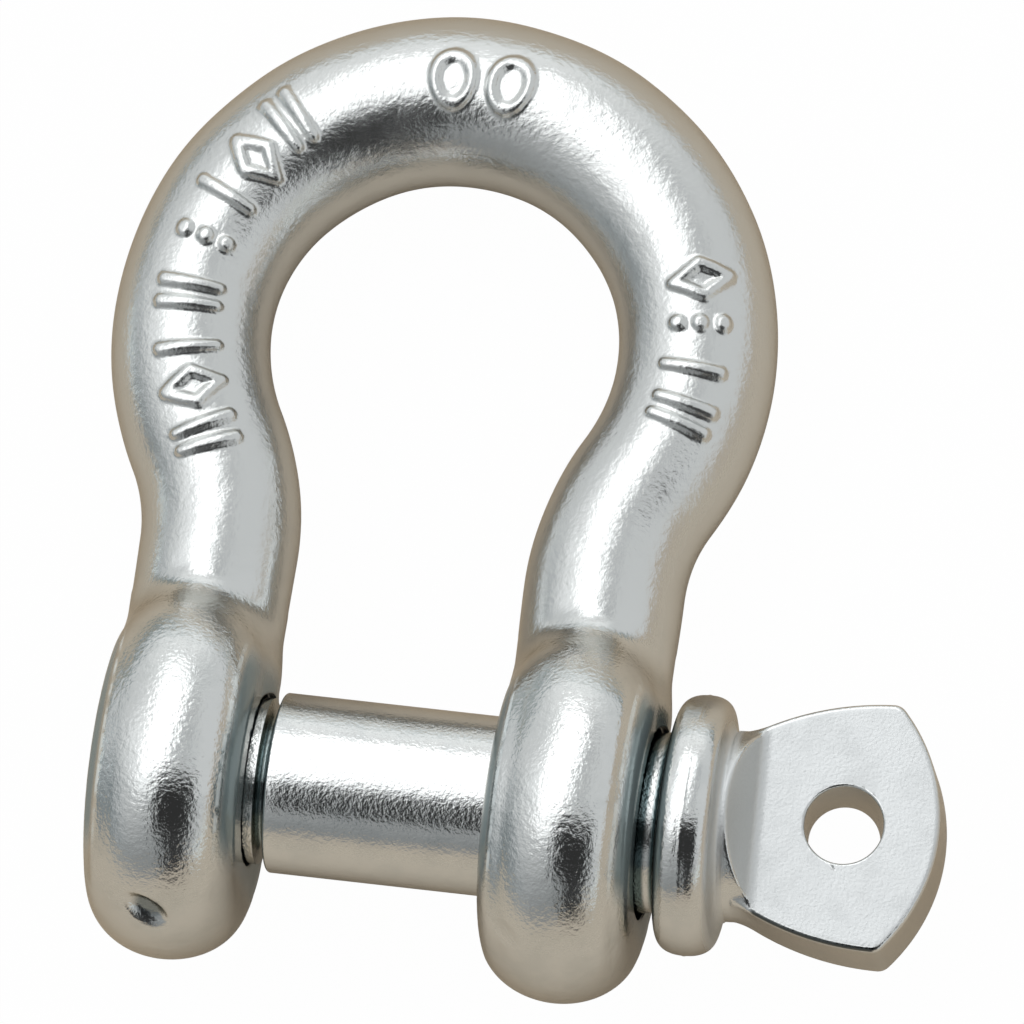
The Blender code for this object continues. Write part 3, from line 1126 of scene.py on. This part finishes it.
    def build(self) -> bpy.types.Object:
        """The forging as one fine mesh.

        Returns:
            The object, in place in the row's frame.
        """
        along, turns = self.rings_along(), self.turns_round()
        bar = self.stations(along)
        reach = skin_reach(
            lambda reach: self.skin_distance(bar, turns, reach),
            (len(along), len(turns)),
            1.3 * self.ear_r,
            self.halvings,
        )
        points = bar.points(turns, reach)
        reach = reach + self.mark_height(along, turns, bar.radius)
        reach = reach + self.uneven_ears(points)
        from_middle = np.abs(np.abs(points[..., 0]) - self.ear_x)
        faces = smooth_step((from_middle - self.face_from) / self.face_fade)
        faces = faces * (points[..., 1] < self.ear_r)
        swells = uneven(points, self.swell_length, self.swell_seed)
        reach = reach + self.swell * swells * (1 - faces)
        reach = reach - self.swell_sink * self.swell
        points = bar.points(turns, np.maximum(reach, NEAR_NOTHING))
        from_ear = points * [0.0, 1.0, 1.0] + [0.0, self.ear_drop, 0.0]
        from_ear /= np.maximum(np.linalg.norm(from_ear, axis=-1, keepdims=True), MM)
        points = points - from_ear * self.dent_depth(points)[..., None]
        blank = skin_mesh("bow_forging", points)
        mesh = cut("bow_forging", blank, [self.bore_cutter(1), self.bore_cutter(-1)])
        mesh.shade_smooth()
        mesh.set_sharp_from_angle(angle=self.sharp)
        mesh.transform(self.lay())
        obj = shape_object("bow_forging", mesh)
        log.info("bow_forging: %d vertices", len(mesh.vertices))
        return obj

    def dress(self, obj: bpy.types.Object) -> None:
        """Plates the forging and puts it in its solid's place.

        Args:
            obj: the forging.
        """
        finish = ZincPlate(
            name="plated_forging",
            slot="plated_bow",
            lay=self.lay(),
            colour=(0.755, 0.775, 0.775),
            dull_colour=(0.69, 0.715, 0.715),
            satin_colour=(0.73, 0.75, 0.75),
            edge_tint=(0.74, 0.68, 0.60),
            satin=0.21,
            satin_axis="Y",
            satin_from=7.0 * MM,
            satin_to=13.0 * MM,
            polished_skin=Texture(0.24 * MM, 0.034 * MM, 1.3 * MM, 0.035 * MM),
            satin_skin=Texture(0.26 * MM, 0.03 * MM, 1.1 * MM, 0.042 * MM),
            painted_shade=(
                # painted shade in both ears' holes
                Core(1, 5.3 * MM, 0.06 * MM, (0.08, 0.10, 0.11)),
                Core(-1, 4.75 * MM, 0.06 * MM, (0.08, 0.10, 0.11)),
                # painted shade in the hollow of the tapped ear's dent
                Spot((-10.6 * MM, -8.4 * MM, 4.3 * MM), 0.85 * MM, 0.3 * MM, (0.27, 0.31, 0.33)),
            ),
            rims=Rims(self.ear_x),
        )
        obj.data.materials.clear()
        obj.data.materials.append(finish.material())
        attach(obj, "bow_body")
        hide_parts("bow")


@dataclass
class ScrewPin:
    """The screw pin: thread, shank, collar, neck and eye plate in one."""

    bow: Bow
    shank_r: float = 4.825 * MM
    thread_r: float = 4.45 * MM
    thread_depth: float = 0.75 * MM
    tip_chamfer: float = 0.8 * MM
    tip_proud: float = 0.1 * MM
    groove_r: float = 3.5 * MM
    groove_width: float = 0.6 * MM
    shoulder_round: float = 0.16 * MM
    collar_gap: float = 1.1 * MM
    collar_r: float = 6.97 * MM
    collar_rim_width: float = 2.85 * MM
    collar_rim_depth: float = 1.0 * MM
    collar_square: float = 0.87  # 1 for a round rim and 0 for a square one
    collar_fillet: float = 0.35 * MM  # towards the shank
    flash_rise: float = 0.03 * MM  # parting line round the collar
    flash_width: float = 0.07 * MM
    neck_r: float = 5.1 * MM
    neck_x: float = 3.25 * MM  # where the fillet from the collar ends
    neck_rise: float = 0.08 * MM
    head_rise: float = 0.2 * MM
    eye_lean: float = math.radians(2.3)
    eye_half: float = 2.25 * MM  # half its thickness
    eye_width: float = 13.62 * MM
    eye_corner_x: float = 11.9 * MM
    eye_length: float = 14.6 * MM
    eye_flare_r: float = 15.4 * MM
    eye_root_x: float = 4.0 * MM
    eye_edge_round: float = 0.28 * MM
    eye_hole_r: float = 2.12 * MM
    eye_hole_far_r: float = 1.92 * MM  # the punch leaves it narrower at the back
    eye_hole_x: float = 9.5 * MM
    eye_hole_drift: tuple[float, float] = (-0.4 * MM, 0.15 * MM)  # from front to back
    eye_hole_round: float = 0.16 * MM
    ramp_foot_x: float = 4.8 * MM
    ramp_angle: float = math.radians(65)
    ramp_edge: float = 0.15 * MM
    ramp_fillet: float = 0.45 * MM
    quarter_sides: int = 42
    halvings: int = 26  # steps in the search for the skin
    hole_sides: int = 96
    thread_step: float = 0.075 * MM  # between the thread's rings
    thread_run_out: float = 0.7 * MM
    corner_turns: float = 1.6  # how much closer the points are at the eye plate's edges
    groove_square: float = 0.4  # 1 for a round groove and 0 for a square one
    sharp: float = math.radians(40)  # edges steeper than this are shaded sharp

    def __post_init__(self) -> None:
        """Works out the stations along the pin and the circles of the eye plate's outline."""
        self.ear_inner_x = -self.bow.jaw / 2
        self.ear_outer_x = self.bow.jaw / 2 + self.bow.ear_thickness
        self.collar_x = self.ear_outer_x + self.collar_gap
        self.shoulder_x = self.collar_gap + self.ear_inner_x
        self.tip_x = -self.ear_outer_x - self.tip_proud
        half, bulge = self.eye_width / 2, self.eye_length - self.eye_corner_x
        self.end_r = (half**2 + bulge**2) / (2 * bulge)
        self.flare_y = half - self.eye_flare_r

    def turns(self) -> np.ndarray:
        """Where the mesh has points round the pin, closest at the eye plate's edges.

        Returns:
            Angles from the shackle's Y towards its Z.
        """
        share = np.arange(self.quarter_sides) / self.quarter_sides * 2 - 1
        quarter = math.pi / 4 * (1 + np.sign(share) * np.abs(share) ** self.corner_turns)
        return np.concatenate([quarter + math.pi / 2 * turn for turn in range(4)])

    def shank_profile(self) -> list[tuple[float, float, float]]:
        """The outline from the tip to the collar.

        Returns:
            Points of (x, radius, share of the thread's depth).
        """
        points = [(self.tip_x, radius * MM, 0.0) for radius in (0.4, 2.0, 3.4)]
        points += [
            (self.tip_x, self.thread_r - self.tip_chamfer, 0.0),
            (self.tip_x + self.tip_chamfer / 2, self.thread_r - self.tip_chamfer / 2, 0.2),
        ]
        groove_x = self.shoulder_x - self.groove_width
        for x in np.arange(self.tip_x + self.tip_chamfer, groove_x - 0.06 * MM, self.thread_step):
            lead = min((x - self.tip_x) / self.bow.thread_pitch, 1.0)
            run_out = min(max((self.ear_inner_x - x) / self.thread_run_out, 0.0), 1.0)
            points.append((float(x), self.thread_r, float(lead * run_out)))
        for share in np.linspace(0, math.pi, 15):
            x = groove_x + self.groove_width / 2 * (1 - math.cos(share))
            rim = self.thread_r if share < math.pi / 2 else self.shank_r - self.shoulder_round
            sunk = math.sin(share) ** self.groove_square
            points.append((x, rim - (rim - self.groove_r) * sunk, 0.0))
        for turn in np.linspace(0, math.pi / 2, 8):
            x = self.shoulder_x + self.shoulder_round * (1 - math.cos(turn))
            radius = self.shank_r - self.shoulder_round * (1 - math.sin(turn))
            points.append((x, radius, 0.0))
        for x in np.arange(self.shoulder_x + 1 * MM, self.collar_x - self.collar_fillet, 1 * MM):
            points.append((float(x), self.shank_r, 0.0))
        return points

    def collar_profile(self) -> list[tuple[float, float]]:
        """The outline of the collar and the fillet to the neck.

        Returns:
            Points of (x from the collar's inner face, radius).
        """
        base_r = self.collar_r - self.collar_rim_depth
        points = []
        for turn in np.linspace(0, math.pi / 2, 7):
            x = -self.collar_fillet * (1 - math.sin(turn))
            points.append((x, self.shank_r + self.collar_fillet * (1 - math.cos(turn))))
        for turn in np.linspace(0, math.pi, 71):
            away, over = math.cos(turn), max(math.sin(turn), 0.0)
            x = math.copysign(abs(away) ** self.collar_square, away)
            x = self.collar_rim_width / 2 * (1 - x)
            from_middle = (x - self.collar_rim_width / 2) / self.flash_width
            flash = self.flash_rise * math.exp(-(from_middle**2))
            points.append((x, base_r + self.collar_rim_depth * over**self.collar_square + flash))
        wide, high = self.neck_x - self.collar_rim_width, base_r - self.neck_r
        for turn in np.linspace(0, math.pi / 2, 13)[1:]:
            x = self.collar_rim_width + wide * (1 - math.cos(turn))
            points.append((x, base_r - high * math.sin(turn)))
        return points

    def eye_half_width(self, x: np.ndarray) -> np.ndarray:
        """Half the eye plate's width.

        Args:
            x: stations of the head, from the collar's inner face outwards.

        Returns:
            The half width at each.
        """
        from_corner = np.minimum(x - self.eye_corner_x, 0)
        flank = self.flare_y + np.sqrt(self.eye_flare_r**2 - from_corner**2)
        from_centre = np.maximum(x - (self.eye_length - self.end_r), 0)
        end = np.sqrt(np.maximum(self.end_r**2 - from_centre**2, 0))
        return np.where(x < self.eye_corner_x, flank, end)

    def head_distance(self, x: np.ndarray, y: np.ndarray, z: np.ndarray) -> np.ndarray:
        """Signed distance to the skin of the neck and eye plate, in the head's own frame.

        Args:
            x: from the collar's inner face outwards.
            y: across the eye plate.
            z: out of its plane.

        Returns:
            The distances, negative inside.
        """
        up = np.abs(z) - self.eye_half
        slant = math.sin(self.ramp_angle), math.cos(self.ramp_angle)
        over_ramp = (x - self.ramp_foot_x) * slant[0] + up * slant[1]
        from_axis = np.hypot(y - self.neck_rise, z)
        neck = -smooth_union(self.neck_r - from_axis, -over_ramp, self.ramp_edge)
        flank = np.hypot(x - self.eye_corner_x, np.abs(y) - self.flare_y) - self.eye_flare_r
        end = np.hypot(x - self.eye_length + self.end_r, y) - self.end_r
        sides = -smooth_union(-flank, -end, self.eye_edge_round)
        sides = np.maximum(sides, self.eye_root_x - x)
        soft = self.eye_edge_round
        rounded = np.hypot(np.maximum(sides + soft, 0), np.maximum(up + soft, 0))
        plate = rounded + np.minimum(np.maximum(sides, up) + soft, 0) - soft
        fillet = self.ramp_fillet * smooth_step((x - self.neck_x) / (0.8 * MM)) + 1e-9
        return smooth_union(neck, plate, fillet)

    def head_stations(self) -> np.ndarray:
        """Where the head has rings, closer on the ramp, at the corners and at the end.

        Returns:
            Stations from the collar's inner face outwards.
        """
        ramp = np.arange(self.neck_x + 0.09 * MM, self.ramp_foot_x + 1.2 * MM, 0.08 * MM)
        plain = np.arange(self.ramp_foot_x + 1.3 * MM, self.eye_corner_x - 0.5 * MM, 0.3 * MM)
        corner = np.arange(self.eye_corner_x - 0.45 * MM, self.eye_corner_x + 0.3 * MM, 0.06 * MM)
        chords = np.arange(6.5 * MM, 0.1 * MM, -0.16 * MM)
        end = self.eye_length - self.end_r + np.sqrt(self.end_r**2 - chords**2)
        last = self.eye_length - np.array([0.004, 0.0008]) * MM
        return np.concatenate([ramp, plain, corner, end[end > corner[-1]], last])

    def head_rings(self, turns: np.ndarray) -> np.ndarray:
        """The neck and eye plate's rings in the head's own frame.

        Args:
            turns: the angles round the pin.

        Returns:
            Places, (ring, turn, xyz).
        """
        x = self.head_stations()[:, None]
        rise = self.eye_half + (self.ramp_foot_x - x) * math.tan(self.ramp_angle)
        aim_y = np.maximum(self.eye_half_width(x), 0.04 * MM) * np.cos(turns)
        aim_z = np.clip(rise, self.eye_half, self.neck_r) * np.sin(turns)
        away = np.hypot(aim_y, aim_z)
        aim_y, aim_z = aim_y / away, aim_z / away
        reach = skin_reach(
            lambda reach: self.head_distance(x, reach * aim_y, reach * aim_z),
            away.shape,
            self.eye_width,
            self.halvings,
        )
        reach = np.maximum(reach, NEAR_NOTHING)
        return np.stack([np.broadcast_to(x, reach.shape), reach * aim_y, reach * aim_z], axis=-1)

    def bend_head(self, rings: np.ndarray) -> np.ndarray:
        """Takes rings from the head's own frame to the shackle's, where the eye plate leans.

        Args:
            rings: places, (ring, turn, xyz).

        Returns:
            The places moved.
        """
        x, y, z = rings[..., 0], rings[..., 1], rings[..., 2]
        lean = self.eye_lean * smooth_step(x / self.ramp_foot_x)
        across, along = np.sin(lean), np.cos(lean)
        new_x = self.collar_x + x * along - y * across
        new_y = self.head_rise + x * across + y * along
        return np.stack([new_x, new_y, z], axis=-1)

    def rings(self) -> np.ndarray:
        """The whole pin from the tip to the eye plate's end.

        Returns:
            Places in the shackle's own frame, (ring, turn, xyz).
        """
        turns = self.turns()
        shank = np.array(self.shank_profile())
        roots = 1 - self.bow.thread_height(shank[:, :1], turns)
        radii = shank[:, 1:2] - self.thread_depth * shank[:, 2:3] * roots
        collar = np.array(self.collar_profile())
        collar_rings = turned_rings(collar[:, 0], collar[:, 1:2], turns)
        head = np.concatenate([collar_rings, self.head_rings(turns)])
        return np.concatenate([turned_rings(shank[:, 0], radii, turns), self.bend_head(head)])

    def eye_hole_cutter(self) -> bpy.types.Mesh:
        """A cutter for the eye's hole, with lightly rounded mouths.

        Returns:
            The cutter.
        """
        half, soft = self.eye_half, self.eye_hole_round
        bend = np.linspace(0, math.pi / 2, 6)
        mouth_z = half - soft + soft * np.sin(bend)
        flare = soft - soft * np.cos(bend)
        z = np.concatenate([[-half - MM], -mouth_z[::-1], mouth_z, [half + MM]])
        widen = np.concatenate([flare[-1:], flare[::-1], flare, flare[-1:]])
        share = np.clip(0.5 - z / (2 * half), 0, 1)
        radii = self.eye_hole_r + (self.eye_hole_far_r - self.eye_hole_r) * share + widen
        turns = np.linspace(0, math.tau, self.hole_sides, endpoint=False)
        share, radii = share[:, None], radii[:, None]
        x = self.eye_hole_x + self.eye_hole_drift[0] * share + radii * np.cos(turns)
        y = self.eye_hole_drift[1] * share + radii * np.sin(turns)
        rings = np.stack([x, y, np.broadcast_to(z[:, None], x.shape)], axis=-1)
        return skin_mesh("eye_hole", self.bend_head(rings))

    def build(self) -> bpy.types.Object:
        """The screw pin as one fine mesh.

        Returns:
            The object, in place in the row's frame.
        """
        blank = skin_mesh("screw_pin_fine", self.rings())
        mesh = cut("screw_pin_fine", blank, [self.eye_hole_cutter()])
        mesh.shade_smooth()
        mesh.set_sharp_from_angle(angle=self.sharp)
        mesh.transform(self.bow.lay())
        obj = shape_object("screw_pin_fine", mesh)
        log.info("screw_pin_fine: %d vertices", len(mesh.vertices))
        return obj

    def dress(self, obj: bpy.types.Object) -> None:
        """Plates the pin and puts it in its solid's place.

        Args:
            obj: the pin.
        """
        ear_x, collar_x = self.ear_outer_x, self.collar_x
        ramp_x = collar_x + self.neck_x
        groove_x = self.shoulder_x - self.groove_width
        finish = ZincPlate(
            name="plated_pin",
            slot="plated_pin",
            lay=self.bow.lay(),
            colour=(0.765, 0.785, 0.785),
            dull_colour=(0.71, 0.735, 0.74),
            satin_colour=(0.725, 0.75, 0.76),
            edge_tint=(0.76, 0.70, 0.62),
            satin=0.5,
            flats=Flats(edge_x=(ramp_x + 1.8 * MM, ramp_x + 2.1 * MM)),
            brushed=Band(collar_x + 2.75 * MM, ramp_x + 0.3 * MM, 0.25 * MM),
            satin_axis="X",
            satin_from=ramp_x - 0.1 * MM,
            satin_to=ramp_x + 0.2 * MM,
            polished_skin=Texture(0.2 * MM, 0.024 * MM, 1.0 * MM, 0.015 * MM),
            satin_skin=Texture(0.17 * MM, 0.028 * MM, 0.9 * MM, 0.003 * MM),
            painted_shade=(
                # painted shade in the groove beside the shank's shoulder
                Band(groove_x, self.shoulder_x, 0.05 * MM, (0.30, 0.36, 0.37)),
                # painted shade on the shank at the plain ear's outer face, in the hole's mouth and
                # the gap to the collar
                Band(ear_x - MM, ear_x + 0.4 * MM, 0.12 * MM, (0.12, 0.17, 0.18)),
                # painted shade on the collar's fillet and inner side, facing the gap
                Band(collar_x - 0.4 * MM, collar_x + 0.1 * MM, 0.1 * MM, (0.17, 0.23, 0.24)),
            ),
        )
        obj.data.materials.clear()
        obj.data.materials.append(finish.material())
        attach(obj, "pin_body")
        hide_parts("screw_pin")


def facing(east: float, north: float) -> Vector:
    """A direction in the row's frame.

    Args:
        east: degrees from straight up towards +X.
        north: degrees from straight up towards +Y.

    Returns:
        The unit vector.
    """
    lean, turn = math.radians(math.hypot(east, north)), math.atan2(north, east)
    away = math.sin(lean)
    return Vector((away * math.cos(turn), away * math.sin(turn), math.cos(lean)))


@dataclass(frozen=True)
class Strip:
    """A straight card or box in the studio, from one direction to another."""

    start: tuple[float, float]  # degrees east and north of straight up
    end: tuple[float, float]
    half_width: float  # degrees
    soft: float = 3.0
    light: tuple[float, float, float] = (1.0, 1.0, 1.0)

    def axes(self) -> tuple[Vector, Vector, Vector]:
        """How the card lies.

        Returns:
            Its middle, the way it runs and the way across it, as unit vectors.
        """
        start, end = facing(*self.start), facing(*self.end)
        middle, run = (start + end).normalized(), (end - start).normalized()
        return middle, run, run.cross(middle)

    def half_length(self) -> float:
        """The tangent of half the angle from end to end."""
        return math.tan(facing(*self.start).angle(facing(*self.end)) / 2)

    def mask(self, shader: Shader, direction: Socket) -> Socket:
        """Where the strip is seen.

        Args:
            shader: the world's shader.
            direction: the direction looked in.

        Returns:
            1 on the strip and 0 beside it.
        """
        middle, run, across = self.axes()
        ahead = shader.along(direction, middle)
        soft = math.tan(math.radians(self.soft))
        wide, long = math.tan(math.radians(self.half_width)), self.half_length()
        sideways = abs(shader.along(direction, across) / ahead).below(wide, soft)
        lengthways = abs(shader.along(direction, run) / ahead).below(long, soft)
        return sideways * lengthways * ahead.step(0.0, 0.05)


@dataclass(frozen=True)
class Glow:
    """A broad round patch of the studio's walls, lighter or darker than the rest."""

    middle: tuple[float, float]  # degrees east and north of straight up
    inner: float  # degrees from its middle to where it starts to fade
    outer: float
    light: tuple[float, float, float]

    def mask(self, shader: Shader, direction: Socket) -> Socket:
        """Where the patch is seen.

        Args:
            shader: the world's shader.
            direction: the direction looked in.

        Returns:
            1 in the patch, fading to 0 round it.
        """
        angle = shader.along(direction, facing(*self.middle)).angle()
        return angle.step(math.radians(self.outer), math.radians(self.inner))


@dataclass
class Studio:
    """A pale studio: the walls, panels, a lamp, the floor and the camera."""

    bow: Bow
    walls: tuple[float, float, float] = (0.69, 0.70, 0.70)
    surroundings: tuple[Glow | Strip, ...] = (  # each lies over those before it
        Glow((-12, 74), 10, 42, (1.05, 1.06, 1.05)),  # bright wall behind the crown
        Glow((-5, -88), 22, 88, (0.27, 0.28, 0.28)),  # dim room on the camera's side
        Glow((-100, -28), 20, 52, (0.22, 0.25, 0.26)),  # dim corner beyond the tapped ear
        Glow((0, 180), 84, 90, (0.15, 0.21, 0.22)),  # below the table
        Glow((87, -127), 86, 90, (0.50, 0.435, 0.355)),  # the wooden table, near and right
        Glow((11, -166), 86, 90, (0.53, 0.47, 0.385)),  # the table, far and left
        Strip((-40, 77), (34, 80), 2, 2, (0.40, 0.46, 0.47)),  # line on the far wall
        Glow((-40, 20), 5, 26, (1.02, 1.03, 1.03)),  # lit wall on the left
        Strip((12, -44), (14, -3), 25, 3, (0.035, 0.035, 0.035)),  # the camera and its hood
        Strip((17, -70), (17, -40), 12, 3, (0.045, 0.045, 0.045)),  # its stand
        Strip((14, 6), (21, 52), 4, 5, (0.48, 0.49, 0.49)),  # frame right of the softbox
        Strip((-34, 63), (16, 60), 2.5, 3, (0.5, 0.5, 0.5)),  # frame behind it
        Strip((-21, -2), (-6, 60), 18, 9, (1.08, 1.08, 1.08)),  # the softbox's cloth
        Glow((-28, -4), 7, 17, (1.35, 1.35, 1.35)),  # its brightest spot
        Strip((46, -54), (76, -24), 3, 4, (0.85, 0.95, 0.98)),  # the table's lit edge
        Strip((-90, -4), (-88, 24), 3, 3, (1.1, 1.2, 1.22)),  # a window low on the left
    )
    floor_tone: tuple[float, float, float] = (0.72, 0.62, 0.49)
    floor_width: float = 0.11  # a sheet on a darker table
    floor_length: float = 0.6
    floor_below: float = 0.02 * MM  # how far under the shackle
    floor_plain: tuple[float, float, float] = (0.92, 0.92, 0.92)  # where the camera sees it
    floor_white: float = 0.985  # how much of it is plain white there; the rest takes the shadow
    floor_glow: float = 0.08  # the same where it is mirrored in the shackle
    softbox: Strip = Strip((-19, 1), (-5, 58), 16)
    softbox_away: float = 0.7
    softbox_light: float = 0.7  # radiance, where 1 is white
    azimuth: float = math.radians(8.193)  # of the camera, in the shackle's own frame
    elevation: float = math.radians(-14.664)
    roll: float = math.radians(8.367)
    aim: tuple[float, float] = (7.123 * MM, 15.017 * MM)  # image centre from the origin
    view_width: float = 54.57 * MM
    camera_away: float = 1.2

    def light_world(self) -> None:
        """Paints the walls and panels, and white for what the camera sees past the floor."""
        world = bpy.data.worlds.new("studio")
        bpy.context.scene.world = world
        world.use_nodes = True
        shader = Shader(world.node_tree)
        direction = shader.output("ShaderNodeTexCoord", None, None, "Generated")
        colour = opaque(self.walls)
        for patch in self.surroundings:
            colour = shader.mix(patch.mask(shader, direction), colour, opaque(patch.light))
        rays = shader.node("ShaderNodeLightPath")
        seen = Socket(shader, rays.outputs["Is Camera Ray"])
        colour = shader.mix(seen, colour, opaque((1.0, 1.0, 1.0)))
        background = shader.output("ShaderNodeBackground", None, {"Color": colour})
        shader.node("ShaderNodeOutputWorld", None, {"Surface": background})

    def lay_floor(self) -> None:
        """A plain pale floor that looks white and keeps the shackle's shadow."""
        mesh = bpy.data.meshes.new("floor")
        shape = bmesh.new()
        bmesh.ops.create_grid(shape, x_segments=1, y_segments=1, size=0.5)
        bmesh.ops.scale(shape, vec=(self.floor_width, self.floor_length, 1), verts=shape.verts)
        shape.to_mesh(mesh)
        shape.free()
        floor = shape_object("floor", mesh)
        floor.location.z = -self.floor_below
        material = bpy.data.materials.new("pale_floor")
        material.use_nodes = True
        shader = Shader(material.node_tree)
        rays = shader.node("ShaderNodeLightPath")
        seen = Socket(shader, rays.outputs["Is Camera Ray"])
        mirrored = Socket(shader, rays.outputs["Is Glossy Ray"])
        through = Socket(shader, rays.outputs["Is Transmission Ray"])
        tone = shader.mix(seen, opaque(self.floor_tone), opaque(self.floor_plain))
        plain = shader.output("ShaderNodeBsdfDiffuse", None, {"Color": tone})
        white = shader.output("ShaderNodeEmission", None, {"Color": opaque((1.0, 1.0, 1.0))})
        share = (seen + through) * self.floor_white + mirrored * self.floor_glow
        both = shader.output("ShaderNodeMixShader", None, {0: share, 1: plain, 2: white})
        shader.node("ShaderNodeOutputMaterial", None, {"Surface": both})
        mesh.materials.append(material)

    def hang_softbox(self) -> None:
        """The softbox over the shackle's crown."""
        middle, run, across = self.softbox.axes()
        data = bpy.data.lights.new("softbox", "AREA")
        data.shape = "RECTANGLE"
        data.size = 2 * self.softbox_away * math.tan(math.radians(self.softbox.half_width))
        data.size_y = 2 * self.softbox_away * self.softbox.half_length()
        data.energy = self.softbox_light * math.pi * data.size * data.size_y
        lamp = bpy.data.objects.new("softbox", data)
        bpy.context.scene.collection.objects.link(lamp)
        axes = Matrix((across, run, across.cross(run))).transposed().to_4x4()
        lamp.matrix_world = Matrix.Translation(middle * self.softbox_away) @ axes

    def set_camera(self) -> None:
        """The camera at the photograph's angle, far off behind a long lens."""
        a, e, r = self.azimuth, self.elevation, self.roll
        right = Vector((math.cos(a), 0, -math.sin(a)))
        up = Vector((-math.sin(e) * math.sin(a), math.cos(e), -math.sin(e) * math.cos(a)))
        back = right.cross(up)
        image_right = right * math.cos(r) + up * math.sin(r)
        image_up = up * math.cos(r) - right * math.sin(r)
        place = image_right * self.aim[0] + image_up * self.aim[1] + back * self.camera_away
        data = bpy.data.cameras.new("camera")
        data.lens = data.sensor_width * self.camera_away / self.view_width
        data.clip_start = 0.1
        data.clip_end = 10
        camera = bpy.data.objects.new("camera", data)
        bpy.context.scene.collection.objects.link(camera)
        axes = Matrix((image_right, image_up, back)).transposed().to_4x4()
        camera.matrix_world = self.bow.lay() @ Matrix.Translation(place) @ axes
        bpy.context.scene.camera = camera

    def build(self) -> None:
        """Sets the studio up."""
        self.light_world()
        self.lay_floor()
        self.hang_softbox()
        self.set_camera()
        bpy.context.scene.view_settings.view_transform = "Standard"


def main() -> None:
    """Builds and dresses the shackle, and sets up its studio."""
    logging.basicConfig(level=logging.INFO, format="%(message)s")
    bow = Bow()
    pin = ScrewPin(bow)
    for part in (bow, pin):
        obj = part.build()
        part.dress(obj)
    Studio(bow).build()


if __name__ == "__main__":
    main()
